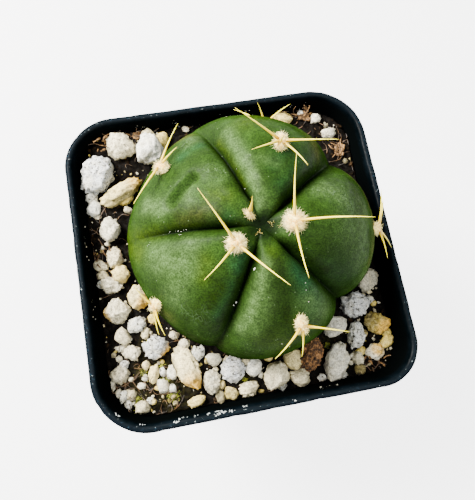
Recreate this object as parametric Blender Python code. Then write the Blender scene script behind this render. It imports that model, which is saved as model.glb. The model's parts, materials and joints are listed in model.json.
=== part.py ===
"""A five-ribbed globular cactus in a square plastic nursery pot.

The pot stands on its foot ring at z = 0, with its sides square to X and Y and the origin under
its middle. The cactus sits a little off the middle and leans, sunk in a potting mix that is
dressed with loose pumice.
"""

import math
import random

import bmesh
import bpy
from mathutils import Matrix, Vector, noise

MM = 0.001
CLEARANCE = 0.3 * MM

# Pot: a tapered square tub with a rolled lip, a lifted floor and a foot ring.
POT_WIDTH = 70 * MM
POT_HEIGHT = 64 * MM
POT_BASE_WIDTH = 54 * MM
LIP_CORNER = 11.6 * MM
BASE_CORNER = 8 * MM
WALL = 0.9 * MM
LIP_WIDTH = 1.7 * MM
LIP_DROP = 5 * MM
LIP_ROUND = 0.6 * MM
FOOT_WIDTH = 2 * MM
FLOOR_LIFT = 2.5 * MM
FLOOR_THICKNESS = 1.1 * MM
CORNER_STEPS = 6
DRAIN_RADIUS = 2.8 * MM
DRAIN_OFFSET = 14 * MM
DRAIN_SIDES = 14
NOTCH_WIDTH = 5 * MM

# Potting mix: its surface lies below the lip, and rises towards the back and the left.
SOIL_DROP = 8 * MM
SOIL_BACK_RISE = 3.2 * MM
SOIL_LEFT_RISE = 0.8 * MM
SOIL_ROUGHNESS = 0.6 * MM
SOIL_LUMP_SIZE = 5 * MM
SOIL_CELLS = 15

# Cactus body: a flattened globe on a leaning axis, cut by five grooves, with a tap root.
BODY_CENTRE = Vector((1.9 * MM, 1 * MM, POT_HEIGHT + 3.6 * MM))
BODY_LEAN_X = math.radians(5)
BODY_LEAN_Y = math.radians(-8)
BODY_RADIUS = 26.4 * MM
BODY_RISE = 18.8 * MM
BODY_DROP = 20.6 * MM
BODY_ROUNDNESS = 0.9
CROWN_PIT = 3.2 * MM
CROWN_PIT_RADIUS = 5 * MM
NECK_ANGLE = 2.5
NECK_SHARE = 0.84
ROOT_LENGTH = 20 * MM
ROOT_TIP_RADIUS = 0.8 * MM
BODY_RINGS = 30
RIB_STEPS = 10

# Ribs, anticlockwise from above, each starting at a groove. Angles are in degrees.
RIB_NAMES = "CBAED"
GROOVE_AZIMUTHS = (-47, 34, 105, 173, 244)
GROOVE_TWISTS = (4, -3.5, 4, 3, 0)
RIB_SWELLS = (0.6 * MM, -0.5 * MM, -2.7 * MM, -2.9 * MM, -0.7 * MM)
TWIST_LEVEL = 0.8
GROOVE_DEPTH = 3.5 * MM
GROOVE_SHARPNESS = 3.2
# Share of its depth that each groove has lost by the foot of the body.
GROOVE_FADES = (0.25, 0.65, 0.8, 0.65, 0.35)
CHIN_HEIGHT = 0.8 * MM
CHIN_LENGTH = 0.26
CHIN_DROP = 0.16

# Areoles: woolly cushions near the ribs' crests, young and old, at these angles from the crown
# and shares of the way across the rib.
AREOLE_ANGLES = ((0.18, 1.27), (0.63, 1.72), (0.1, 1.09), (0.2, 1.33), (0.8,))
AREOLE_SHARES = ((0.56, 0.5), (0.47, 0.5), (0.42, 0.44), (0.44, 0.47), (0.58,))
CUSHION_LENGTH = 4.4 * MM
CUSHION_WIDTH = 3.8 * MM
YOUNG_CUSHION_LENGTH = 3.4 * MM
YOUNG_CUSHION_WIDTH = 2.9 * MM
CUSHION_HEIGHT = 0.8 * MM
HUB_RADIUS = 0.65 * MM
HUB_HEIGHT = 1.9 * MM
SPINE_RADIUS = 0.42 * MM
SPINE_TIP_SHARE = 0.25
SPINE_POINTS = 5
SPINE_BOW = 0.05

# Spines by areole. Each has its direction around the areole, in degrees anticlockwise from
# straight down the rib, then its lift off the skin in degrees and its length in millimetres.
SPINES = {
    "a_young": ((-34, 30, 3.8),),
    "a_old": ((-90, 8, 8.9), (-132, 8, 5.2), (102, 4, 9.9)),
    "b_young": ((91, 20, 10.8), (165, 50, 4), (-87, 18, 10.3), (-141, 10, 7.8), (138, 10, 8.6)),
    "b_old": ((144, 16, 6.8), (-131, 30, 6.6), (0, 12, 7), (70, 14, 8), (-65, 14, 8)),
    "c_young": ((78, 22, 11.7), (-9, 11, 13.8), (-84, 22, 11.5)),
    "c_old": ((98, 4, 8.1), (70, 6, 7), (-75, 5, 6.6), (-28, 10, 8.4)),
    "d_young": ((-89, 20, 8.5), (64, 20, 8.6), (-25, 8, 5.8)),
    "e_young": ((-84, 15, 11.8), (14, 20, 9.5), (104, 28, 12.3)),
    "e_old": ((-109, 8, 6), (61, 8, 5.9), (88, 10, 5.9)),
}

# Dressing stones: place, length, width and height, then the turn of the length in degrees and
# how far the stone's middle stands over the mix. All but the turn are in millimetres.
STONES = {
    "pumice_grey_left": (-28.6, 23.2, 8.6, 6.4, 6, 74, 1),
    "pumice_pale_back": (-22.5, 29, 6.6, 5.6, 5, -9, 0.8),
    "pumice_white_back": (-15.6, 27, 7.8, 6.2, 5.8, 82, 1.2),
    "pumice_bean": (-23.6, 18.2, 9.8, 4.2, 4.2, 23, 0.8),
    "pumice_left_a": (-30.5, 15.6, 3.6, 3.2, 3, 83, 0.3),
    "pumice_left_b": (-27.7, 9.8, 5.8, 4.6, 4.2, 83, 0.6),
    "pumice_left_c": (-27.6, 3.4, 4.6, 3.6, 3.4, 83, 0.5),
    "pumice_left_d": (-29.2, -2.6, 5.2, 3.6, 3.2, -10, 0.4),
    "pumice_left_e": (-28.9, -8.7, 6, 5.2, 4.6, -25, 0.8),
    "pumice_yellow": (-23.4, -6.4, 5, 4.4, 4.2, 82, 0.6),
    "pumice_left_f": (-24.8, -12.2, 3.8, 3.5, 3.2, -10, 0.4),
    "pumice_left_g": (-26.6, -18.4, 3.6, 3.3, 3, -10, 0.3),
    "pumice_corner": (-29.6, -22.4, 4.2, 3.8, 3.6, -10, 0.4),
    "pumice_speckled": (-21.2, -17.9, 5.3, 4.8, 4.4, -10, 0.6),
    "pumice_long": (-15.5, -23.6, 9.4, 5, 4.8, -71, 1),
    "pumice_front_a": (-10.4, -27.6, 5, 3.6, 3.6, 65, 0.6),
    "pumice_grey_front": (-5.3, -25.7, 5.4, 4.8, 4.6, 80, 0.8),
    "pumice_front_b": (-2.7, -30.3, 4.8, 3.4, 3.4, -1, 0.4),
    "pumice_front_c": (-0.4, -26.3, 4, 3.6, 3.4, -10, 0.5),
    "pumice_front_d": (4.2, -28.4, 6.6, 5.2, 5, 58, 0.9),
    "pumice_front_e": (9.4, -30.2, 4.4, 3.6, 3.4, -1, 0.4),
    "scoria": (12.6, -25.6, 7.2, 4.8, 5, 62, 1),
    "pumice_white_front": (17.9, -27.9, 8.6, 5.2, 5.4, 62, 1.2),
    "pumice_right_a": (29.1, -11.4, 5.6, 4.6, 4.2, 47, 0.8),
    "pumice_porous": (25, -16.8, 6.2, 5.4, 5, 9, 1),
    "pumice_right_b": (19.6, -20.6, 5.4, 4.6, 4.6, 33, 0.8),
    "pumice_right_c": (23.6, -23.4, 5.6, 3.8, 4, 66, 0.8),
    "pumice_beige": (29.2, -21.6, 5.4, 5, 4.8, -10, 0.9),
    "pumice_right_d": (27.2, -27.6, 4.6, 3.6, 3.6, 9, 0.5),
    "pumice_far": (17.2, 30.5, 4.8, 3.2, 3.2, -9, 0.4),
}
GREY_STONES = ("pumice_grey_left", "pumice_speckled", "pumice_grey_front", "pumice_porous")
STONE_LUMPS = 0.22
STONE_SEED = 5

# Bark chips: place, length, width and turn, lying flat on the mix.
BARK_CHIPS = {
    "bark_left": (-17.9, 31.4, 2.8, 1.6, 0),
    "bark_back": (22.6, 30.4, 3.4, 2, -15),
    "bark_right": (29.6, 21, 3.4, 2.2, 70),
}
BARK_THICKNESS = 1.1 * MM
BARK_BEVEL = 0.25 * MM

# Grit: small stones fused into the surface of the mix.
GRIT_SEED = 23
GRIT_COUNT = 48
GRIT_TRIES = 4000
GRIT_SIZES = (1.3 * MM, 2.4 * MM)
GRIT_SPACING = 0.5 * MM


def clear_scene():
    for item in list(bpy.data.objects):
        bpy.data.objects.remove(item)


def new_collection(name):
    made = bpy.data.collections.new(name)
    bpy.context.scene.collection.children.link(made)
    return made


def smooth_step(value, low, high):
    share = min(1.0, max(0.0, (value - low) / (high - low)))
    return share * share * (3 - 2 * share)


def material(name, colour, roughness, metallic=0.0):
    made = bpy.data.materials.new(name)
    made.use_nodes = True
    shader = made.node_tree.nodes["Principled BSDF"]
    shader.inputs["Base Color"].default_value = (*colour, 1)
    shader.inputs["Roughness"].default_value = roughness
    shader.inputs["Metallic"].default_value = metallic
    return made


def add_object(name, bm, collection, finish=None, smooth_below=None):
    """An object from a bmesh, with its own material and, if asked, smooth shading."""
    mesh = bpy.data.meshes.new(name)
    bm.to_mesh(mesh)
    bm.free()
    made = bpy.data.objects.new(name, mesh)
    collection.objects.link(made)
    if finish:
        mesh.materials.append(finish)
    if smooth_below:
        mesh.shade_smooth()
        mesh.set_sharp_from_angle(angle=math.radians(smooth_below))
    return made


def combine(target, operation, tools):
    """Joins a collection's closed meshes to the target, or cuts them from it, and removes them."""
    for tool in tools.objects:
        tool.hide_render = True
        tool.display_type = "WIRE"
    modifier = target.modifiers.new(operation.title(), "BOOLEAN")
    modifier.operation = operation
    modifier.operand_type = "COLLECTION"
    modifier.collection = tools
    graph = bpy.context.evaluated_depsgraph_get()
    result = bpy.data.meshes.new_from_object(target.evaluated_get(graph))
    target.modifiers.clear()
    target.data = result
    for tool in list(tools.objects):
        bpy.data.objects.remove(tool)
    bpy.data.collections.remove(tools)


# Pot


def rounded_square(half, corner, z):
    """The outline of a square with round corners, anticlockwise from above."""
    points = []
    centre = half - corner
    for quarter in range(4):
        turn = quarter * math.pi / 2
        middle = Matrix.Rotation(turn, 3, "Z") @ Vector((centre, centre, 0))
        for step in range(CORNER_STEPS + 1):
            angle = turn + step / CORNER_STEPS * math.pi / 2
            spoke = Vector((math.cos(angle), math.sin(angle), 0))
            points.append(middle + spoke * corner + Vector((0, 0, z)))
    return points


def loft(sections):
    """A closed skin through outlines with equal numbers of points, capped at both ends."""
    bm = bmesh.new()
    rings = [[bm.verts.new(point) for point in section] for section in sections]
    for lower, upper in zip(rings, rings[1:]):
        for index in range(len(lower)):
            after = (index + 1) % len(lower)
            bm.faces.new((lower[index], lower[after], upper[after], upper[index]))
    bm.faces.new(list(reversed(rings[0])))
    bm.faces.new(rings[-1])
    bmesh.ops.recalc_face_normals(bm, faces=bm.faces)
    return bm


def wall_half(z):
    """Half the pot's inside width at a height."""
    base = POT_BASE_WIDTH / 2 - WALL
    top = POT_WIDTH / 2 - LIP_WIDTH
    return base + (top - base) * z / POT_HEIGHT


def wall_corner(z):
    return BASE_CORNER + (LIP_CORNER - LIP_WIDTH - BASE_CORNER) * z / POT_HEIGHT


def make_pot(collection):
    lip_half = POT_WIDTH / 2
    half_round = LIP_ROUND / 2
    skirt = POT_HEIGHT - LIP_DROP
    floor_top = FLOOR_LIFT + FLOOR_THICKNESS
    foot_inside = POT_BASE_WIDTH / 2 - FOOT_WIDTH
    foot_corner = BASE_CORNER - FOOT_WIDTH
    lip_inside = lip_half - LIP_WIDTH
    inside_corner = LIP_CORNER - LIP_WIDTH
    sections = [
        rounded_square(foot_inside, foot_corner, FLOOR_LIFT),
        rounded_square(foot_inside, foot_corner, 0),
        rounded_square(wall_half(0) + WALL, BASE_CORNER, 0),
        rounded_square(wall_half(skirt) + WALL, wall_corner(skirt) + WALL, skirt),
        rounded_square(lip_half - half_round, LIP_CORNER - half_round, skirt),
        rounded_square(lip_half, LIP_CORNER, skirt + LIP_ROUND),
        rounded_square(lip_half, LIP_CORNER, POT_HEIGHT - LIP_ROUND),
        rounded_square(lip_half - half_round, LIP_CORNER - half_round, POT_HEIGHT),
        rounded_square(lip_inside + half_round, inside_corner + half_round, POT_HEIGHT),
        rounded_square(lip_inside, inside_corner, POT_HEIGHT - LIP_ROUND),
        rounded_square(wall_half(floor_top), wall_corner(floor_top), floor_top),
    ]
    black = material("pot_black_plastic", (0.012, 0.014, 0.017), 0.35)
    pot = add_object("pot", loft(sections), collection, black, smooth_below=40)
    cut_drainage(pot)


def cut_drainage(pot):
    """Five round holes through the floor, and a notch in the foot ring on each side."""
    tools = new_collection("pot_cutters")
    spots = [(0, 0), (1, 1), (-1, 1), (-1, -1), (1, -1)]
    for x, y in spots:
        bm = bmesh.new()
        bmesh.ops.create_cone(
            bm,
            cap_ends=True,
            segments=DRAIN_SIDES,
            radius1=DRAIN_RADIUS,
            radius2=DRAIN_RADIUS,
            depth=4 * FLOOR_LIFT,
            matrix=Matrix.Translation((x * DRAIN_OFFSET, y * DRAIN_OFFSET, FLOOR_LIFT)),
        )
        add_object("drain", bm, tools)
    for turn in range(4):
        place = Matrix.Rotation(turn * math.pi / 2, 4, "Z")
        place @= Matrix.Translation((POT_BASE_WIDTH / 2 - FOOT_WIDTH / 2, 0, 0))
        size = Matrix.Diagonal((FOOT_WIDTH * 2, NOTCH_WIDTH, FLOOR_LIFT, 1))
        bm = bmesh.new()
        bmesh.ops.create_cube(bm, size=1, matrix=place @ size)
        add_object("notch", bm, tools)
    combine(pot, "DIFFERENCE", tools)


# Cactus body


def lean_matrix():
    """Turns the upright globe so that its crown leans to the right and forward."""
    axis = Vector((math.sin(BODY_LEAN_X), math.sin(BODY_LEAN_Y), 1)).normalized()
    right = (Vector((1, 0, 0)) - axis * axis.x).normalized()
    ahead = axis.cross(right)
    turned = Matrix((right, ahead, axis)).transposed().to_4x4()
    return Matrix.Translation(BODY_CENTRE) @ turned


LEAN = lean_matrix()


def groove_azimuth(index, polar):
    """Azimuth of a groove at a polar angle; the grooves wind a little as they run down."""
    whole_turns, rib = divmod(index, len(GROOVE_AZIMUTHS))
    degrees = GROOVE_AZIMUTHS[rib] + GROOVE_TWISTS[rib] * (polar - TWIST_LEVEL)
    return math.radians(degrees + 360 * whole_turns)


def meridian(polar):
    """Radius and height of the plain globe, with its crown pit, at an angle from the crown."""
    radius = BODY_RADIUS * math.sin(polar) ** BODY_ROUNDNESS
    half_height = BODY_RISE if polar < math.pi / 2 else BODY_DROP
    pit = CROWN_PIT * math.exp(-((radius / CROWN_PIT_RADIUS) ** 2))
    return radius, half_height * math.cos(polar) - pit


def rib_relief(polar, rib, share):
    """How far the skin stands off the plain globe at a share of the way across a rib."""
    across = abs(2 * share - 1)
    opening = smooth_step(polar, 0, 0.3)
    groove = rib if share < 0.5 else (rib + 1) % len(GROOVE_FADES)
    fading = 1 - GROOVE_FADES[groove] * smooth_step(polar, 0.8, 1.8)
    lift = RIB_SWELLS[rib] * (1 - across**2) * smooth_step(polar, 0, 0.5)
    lift -= GROOVE_DEPTH * opening * fading * across**GROOVE_SHARPNESS
    for areole in AREOLE_ANGLES[rib]:
        chin = math.exp(-(((polar - areole - CHIN_DROP) / CHIN_LENGTH) ** 2))
        lift += CHIN_HEIGHT * chin * (1 - across) * smooth_step(polar, 0.1, 0.6)
    return lift


def body_point(polar, rib, share, grow=0.0):
    """A point of the skin: polar angle from the crown, rib, and share across the rib."""
    radius, height = meridian(polar)
    lift = rib_relief(polar, rib, share) + grow
    start = groove_azimuth(rib, polar)
    azimuth = start + share * (groove_azimuth(rib + 1, polar) - start)
    reach = max(radius + lift * math.sin(polar), 0)
    height += lift * math.cos(polar)
    return LEAN @ Vector((reach * math.cos(azimuth), reach * math.sin(azimuth), height))


def root_point(share_down, rib, share, grow=0.0):
    """Below the neck the body draws in to a tapering root with a blunt tip."""
    neck = LEAN.inverted() @ body_point(NECK_ANGLE, rib, share)
    spoke = Vector((neck.x, neck.y, 0))
    draw_in = (1 - share_down) ** 2
    reach = ROOT_TIP_RADIUS + (spoke.length - ROOT_TIP_RADIUS) * draw_in + grow
    blunt = 1 - share_down**8
    drop = Vector((0, 0, neck.z - (ROOT_LENGTH + grow) * share_down))
    return LEAN @ (spoke.normalized() * reach * blunt + drop)


def body_mesh(grow=0.0):
    """A sphere's grid, with its meridians moved so that one runs along every groove."""
    rib_count = len(GROOVE_AZIMUTHS)
    bm = bmesh.new()
    bmesh.ops.create_uvsphere(bm, u_segments=RIB_STEPS * rib_count, v_segments=BODY_RINGS, radius=1)
    for vert in bm.verts:
        down = math.acos(max(-1.0, min(1.0, vert.co.z))) / math.pi
        turn = math.atan2(vert.co.y, vert.co.x) / math.tau * rib_count
        rib = math.floor(turn + 1e-4)
        share = turn - rib
        if down < NECK_SHARE:
            vert.co = body_point(down / NECK_SHARE * NECK_ANGLE, rib % rib_count, share, grow)
        else:
            under = (down - NECK_SHARE) / (1 - NECK_SHARE)
            vert.co = root_point(under, rib % rib_count, share, grow)
    return bm


def make_body(collection):
    green = material("cactus_skin", (0.09, 0.2, 0.045), 0.42)
    add_object("cactus_body", body_mesh(), collection, green, smooth_below=60)


# Areoles


def areole_frame(rib, polar, share):
    """Places +Z straight out of the skin and +X down the rib, with the origin on the skin."""
    step = 0.06
    above = body_point(polar - step, rib, share)
    below = body_point(polar + step, rib, share)
    before = body_point(polar, rib, share - step)
    after = body_point(polar, rib, share + step)
    down = (below - above).normalized()
    out = down.cross(after - before).normalized()
    turned = Matrix((down, out.cross(down), out)).transposed().to_4x4()
    return Matrix.Translation(body_point(polar, rib, share)) @ turned


def make_cushion(name, rib, polar, share, collection, finish):
    """A pad of wool that follows the skin, with a plain hole where the spines stand."""
    young = polar < 0.15
    length = YOUNG_CUSHION_LENGTH if young else CUSHION_LENGTH
    width = YOUNG_CUSHION_WIDTH if young else CUSHION_WIDTH
    along = body_point(polar + 0.05, rib, share) - body_point(polar - 0.05, rib, share)
    across = body_point(polar, rib, share + 0.05) - body_point(polar, rib, share - 0.05)
    polar_reach = length / 2 / along.length * 0.1
    share_reach = width / 2 / across.length * 0.1
    bm = bmesh.new()
    bmesh.ops.create_uvsphere(bm, u_segments=10, v_segments=4, radius=1)
    for vert in bm.verts:
        spot = max(polar + polar_reach * vert.co.x, 0.01)
        grow = CLEARANCE + CUSHION_HEIGHT * max(vert.co.z, 0) + 0.1 * MM * (1 + vert.co.z)
        vert.co = body_point(spot, rib, share + share_reach * vert.co.y, grow)
    bmesh.ops.recalc_face_normals(bm, faces=bm.faces)
    cushion = add_object(name, bm, collection, finish, smooth_below=50)
    tools = new_collection("cushion_cutters")
    bm = bmesh.new()
    bmesh.ops.create_cone(
        bm,
        cap_ends=True,
        segments=10,
        radius1=HUB_RADIUS + CLEARANCE,
        radius2=HUB_RADIUS + CLEARANCE,
        depth=4 * HUB_HEIGHT,
        matrix=areole_frame(rib, polar, share),
    )
    add_object("spine_hole", bm, tools)
    combine(cushion, "DIFFERENCE", tools)


def spine_mesh(points):
    """A tapering tube through the points, closed at both ends."""
    curve = bpy.data.curves.new("spine", "CURVE")
    curve.dimensions = "3D"
    curve.bevel_depth = SPINE_RADIUS
    curve.bevel_resolution = 1
    curve.use_fill_caps = True
    spline = curve.splines.new("POLY")
    spline.points.add(len(points) - 1)
    for index, point in enumerate(points):
        share = index / (len(points) - 1)
        spline.points[index].co = (*point, 1)
        spline.points[index].radius = 1 - (1 - SPINE_TIP_SHARE) * share**1.5
    guide = bpy.data.objects.new("spine", curve)
    bm = bmesh.new()
    bm.from_mesh(bpy.data.meshes.new_from_object(guide))
    bpy.data.objects.remove(guide)
    bmesh.ops.remove_doubles(bm, verts=bm.verts, dist=0.001 * MM)
    bmesh.ops.recalc_face_normals(bm, faces=bm.faces)
    return bm


def make_spines(name, frame, spines, collection, finish):
    """The spines of one areole, joined at a short stalk that stands in the wool's hole."""
    bm = bmesh.new()
    stalk = HUB_HEIGHT - CLEARANCE
    bmesh.ops.create_cone(
        bm,
        cap_ends=True,
        segments=8,
        radius1=HUB_RADIUS,
        radius2=HUB_RADIUS * 0.9,
        depth=stalk,
        matrix=frame @ Matrix.Translation((0, 0, CLEARANCE + stalk / 2)),
    )
    cluster = add_object(name, bm, collection, finish, smooth_below=50)
    tools = new_collection("spine_tools")
    for turn, lift, length in spines:
        turned = Matrix.Rotation(math.radians(turn), 4, "Z")
        lifted = Matrix.Rotation(-math.radians(lift), 4, "Y")
        place = frame @ Matrix.Translation((0, 0, HUB_HEIGHT - SPINE_RADIUS)) @ turned @ lifted
        points = []
        for step in range(SPINE_POINTS):
            share = step / (SPINE_POINTS - 1)
            bow = 4 * SPINE_BOW * length * share * (1 - share)
            points.append(place @ Vector((length * share * MM, 0, bow * MM)))
        add_object("spine", spine_mesh(points), tools)
    combine(cluster, "UNION", tools)


def make_areoles(collection):
    wool = material("areole_wool", (0.7, 0.6, 0.45), 0.9)
    straw = material("spine_straw", (0.66, 0.48, 0.22), 0.45)
    for rib, angles in enumerate(AREOLE_ANGLES):
        for age, polar, share in zip(("young", "old"), angles, AREOLE_SHARES[rib]):
            place = f"{RIB_NAMES[rib].lower()}_{age}"
            make_cushion(f"wool_{place}", rib, polar, share, collection, wool)
            frame = areole_frame(rib, polar, share)
            make_spines(f"spines_{place}", frame, SPINES[place], collection, straw)


# Potting mix and what lies on it


def soil_height(x, y):
    """The smooth level of the mix at a place."""
    back = min(1.0, max(0.0, (y + 5 * MM) / (35 * MM)))
    left = min(1.0, max(0.0, -x / (32 * MM)))
    return POT_HEIGHT - SOIL_DROP + SOIL_BACK_RISE * back**1.3 + SOIL_LEFT_RISE * left


def stone_matrix(x, y, length, width, height, turn, lift):
    level = soil_height(x * MM, y * MM) + lift * MM
    place = Matrix.Translation((x * MM, y * MM, level))
    turned = Matrix.Rotation(math.radians(turn), 4, "Z")
    size = Matrix.Diagonal((length / 2 * MM, width / 2 * MM, height / 2 * MM, 1))
    return place @ turned @ size


def stone_mesh(name, grow=0.0):
    """A lumpy, flat-faced ellipsoid. Growing it moves every point the same way outwards."""
    number = list(STONES).index(name)
    shape = stone_matrix(*STONES[name])
    middle = shape.translation
    rng = random.Random(STONE_SEED + number)
    offset = Vector([rng.uniform(-40, 40) for _ in range(3)])
    bm = bmesh.new()
    bmesh.ops.create_icosphere(bm, subdivisions=2, radius=1)
    for vert in bm.verts:
        dent = abs(noise.noise(vert.co * 1.1 + offset))
        point = shape @ (vert.co * (1 - STONE_LUMPS * dent))
        vert.co = point + (point - middle).normalized() * grow
    return bm


def chip_mesh(name, grow=0.0):
    """A flat chip of bark with bevelled edges."""
    x, y, length, width, turn = BARK_CHIPS[name]
    level = soil_height(x * MM, y * MM) + BARK_THICKNESS * 0.3
    place = Matrix.Translation((x * MM, y * MM, level))
    turned = Matrix.Rotation(math.radians(turn), 4, "Z")
    grown = Vector((length * MM, width * MM, BARK_THICKNESS)) + Vector((2, 2, 2)) * grow
    bm = bmesh.new()
    bmesh.ops.create_cube(bm, size=1, matrix=place @ turned @ Matrix.Diagonal((*grown, 1)))
    bmesh.ops.bevel(
        bm,
        geom=list(bm.edges),
        offset=BARK_BEVEL,
        segments=1,
        affect="EDGES",
    )
    return bm


def make_stones(collection):
    pale = material("pumice_pale", (0.66, 0.62, 0.52), 0.9)
    grey = material("pumice_grey", (0.45, 0.45, 0.43), 0.9)
    red = material("scoria_brown", (0.16, 0.055, 0.03), 0.85)
    brown = material("bark_brown", (0.12, 0.06, 0.03), 0.85)
    for name in STONES:
        finish = red if name == "scoria" else grey if name in GREY_STONES else pale
        add_object(name, stone_mesh(name), collection, finish, smooth_below=35)
    for name in BARK_CHIPS:
        add_object(name, chip_mesh(name), collection, brown)


def clear_of_all(x, y, radius, taken):
    """True where a grain touches no wall, no stone, no chip and not the cactus."""
    level = soil_height(x, y)
    half = wall_half(level) - CLEARANCE - GRIT_SPACING - radius
    corner = max(wall_corner(level) - GRIT_SPACING - radius, MM)
    beyond_x = max(abs(x) - half + corner, 0)
    beyond_y = max(abs(y) - half + corner, 0)
    if math.hypot(beyond_x, beyond_y) > corner:
        return False
    if math.hypot(x - BODY_CENTRE.x, y - BODY_CENTRE.y) < BODY_RADIUS - 1.5 * MM + radius:
        return False
    return all(math.hypot(x - a, y - b) > reach + radius for a, b, reach in taken)


def taken_ground():
    """Circles on the mix that the stones and chips cover."""
    taken = []
    for x, y, length, width, _, turn, _ in STONES.values():
        for side in (-1, 0, 1):
            away = side * (length - width) / 2
            middle_x = x + away * math.cos(math.radians(turn))
            middle_y = y + away * math.sin(math.radians(turn))
            taken.append((middle_x * MM, middle_y * MM, width / 2 * MM + GRIT_SPACING))
    for x, y, length, _, _ in BARK_CHIPS.values():
        taken.append((x * MM, y * MM, length / 2 * MM + GRIT_SPACING))
    return taken


def add_grit(soil):
    """Small stones, sunk to about half, joined to the mix as relief."""
    rng = random.Random(GRIT_SEED)
    taken = taken_ground()
    tools = new_collection("grit")
    for _ in range(GRIT_TRIES):
        if len(tools.objects) == GRIT_COUNT:
            break
        x = rng.uniform(-1, 1) * POT_WIDTH / 2
        y = rng.uniform(-1, 1) * POT_WIDTH / 2
        radius = rng.uniform(*GRIT_SIZES) / 2
        if not clear_of_all(x, y, radius, taken):
            continue
        taken.append((x, y, radius + GRIT_SPACING / 2))
        place = Matrix.Translation((x, y, soil_height(x, y) + radius * 0.3))
        turned = Matrix.Rotation(rng.uniform(0, math.tau), 4, "Z")
        size = Matrix.Diagonal((radius, radius * rng.uniform(0.7, 0.95), radius * 0.9, 1))
        bm = bmesh.new()
        bmesh.ops.create_icosphere(bm, subdivisions=1, radius=1, matrix=place @ turned @ size)
        add_object("grain", bm, tools)
    combine(soil, "UNION", tools)


def make_soil(collection):
    """The pot's filling, with a rough surface, bowls for the stones and a hole for the root."""
    floor = FLOOR_LIFT + FLOOR_THICKNESS + CLEARANCE
    dark = material("potting_mix", (0.022, 0.015, 0.01), 0.95)
    bm = loft(
        [
            rounded_square(wall_half(level) - CLEARANCE, wall_corner(level) - CLEARANCE, level)
            for level in (floor, POT_HEIGHT)
        ]
    )
    soil = add_object("soil", bm, collection, dark)

    tools = new_collection("soil_surface")
    bm = bmesh.new()
    bmesh.ops.create_grid(bm, x_segments=SOIL_CELLS, y_segments=SOIL_CELLS, size=POT_WIDTH / 2)
    for vert in bm.verts:
        rough = noise.noise(vert.co / SOIL_LUMP_SIZE + Vector((3, 7, 0)))
        vert.co.z = soil_height(vert.co.x, vert.co.y) + SOIL_ROUGHNESS * rough
    added = bmesh.ops.extrude_face_region(bm, geom=list(bm.faces))
    for item in added["geom"]:
        if isinstance(item, bmesh.types.BMVert):
            item.co.z = POT_HEIGHT * 2
    bmesh.ops.recalc_face_normals(bm, faces=bm.faces)
    add_object("air", bm, tools)
    combine(soil, "DIFFERENCE", tools)

    add_grit(soil)

    tools = new_collection("soil_cutters")
    add_object("body_hole", body_mesh(CLEARANCE), tools)
    for name in STONES:
        add_object("stone_bowl", stone_mesh(name, CLEARANCE), tools)
    for name in BARK_CHIPS:
        add_object("chip_bed", chip_mesh(name, CLEARANCE), tools)
    combine(soil, "DIFFERENCE", tools)


def build():
    clear_scene()
    cactus = new_collection("potted_cactus")
    make_pot(cactus)
    make_body(cactus)
    make_areoles(cactus)
    make_stones(cactus)
    make_soil(cactus)


build()
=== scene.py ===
"""Looks for the potted globular cactus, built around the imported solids.

Lengths are in metres, and most are written as millimetres times MM. The skin, spines, wool and
stones follow the formulas of the part's source, so each piece sits in the space of its solid.
"""

import json

import math
import random

import bmesh
import bpy
import numpy as np
from mathutils import Matrix, Vector
from mathutils.noise import noise, voronoi

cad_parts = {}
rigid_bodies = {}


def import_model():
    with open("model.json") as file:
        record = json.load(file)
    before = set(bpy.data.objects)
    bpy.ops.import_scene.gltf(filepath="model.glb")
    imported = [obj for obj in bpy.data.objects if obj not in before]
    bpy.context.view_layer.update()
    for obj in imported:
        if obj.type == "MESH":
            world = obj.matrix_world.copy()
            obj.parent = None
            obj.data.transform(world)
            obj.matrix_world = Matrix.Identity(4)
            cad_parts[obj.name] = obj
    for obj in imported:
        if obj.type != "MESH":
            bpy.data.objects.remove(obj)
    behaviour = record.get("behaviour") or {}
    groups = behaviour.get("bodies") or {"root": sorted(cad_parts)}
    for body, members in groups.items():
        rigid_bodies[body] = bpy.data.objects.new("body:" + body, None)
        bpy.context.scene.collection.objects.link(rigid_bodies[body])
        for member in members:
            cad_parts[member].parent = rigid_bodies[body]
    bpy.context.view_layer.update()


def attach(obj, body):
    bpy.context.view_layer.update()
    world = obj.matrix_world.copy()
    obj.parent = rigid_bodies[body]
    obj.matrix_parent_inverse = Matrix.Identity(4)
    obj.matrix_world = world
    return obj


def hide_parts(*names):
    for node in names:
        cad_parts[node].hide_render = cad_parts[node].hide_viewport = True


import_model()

MM = 0.001

# Camera: its heading, height over the horizon and roll in degrees, then its distance from the
# point that it looks at. The focal length is in millimetres on a 36 mm sensor.
VIEW_AZIMUTH = -25
VIEW_ELEVATION = 77
VIEW_ROLL = 15
VIEW_DISTANCE = 107.4 * MM
VIEW_AIM = Vector((-0.1 * MM, -0.7 * MM, 64 * MM))
VIEW_LENS = 35.28
SENSOR_WIDTH = 36

# Lights: direction in the camera's axes, distance and size in metres, power in watts and colour.
LIGHTS = {
    "key": ((-0.75, 0.62, 0.72), 0.42, 0.2, 20, (1, 0.98, 0.94)),
    "top": ((0.45, -0.1, 1), 0.5, 0.4, 5, (0.95, 0.98, 1)),
}
# How far above the camera's aim the lights point.
LIGHT_LIFT = 8 * MM
SKY = (0.93, 0.97, 1, 1)
SKY_STRENGTH = 0.6
FLOOR_REACH = 1.5
FLOOR_DROP = 0.05 * MM

# Pot
POT_WIDTH = 70 * MM
POT_HEIGHT = 64 * MM
POT_BASE_WIDTH = 54 * MM
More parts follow.
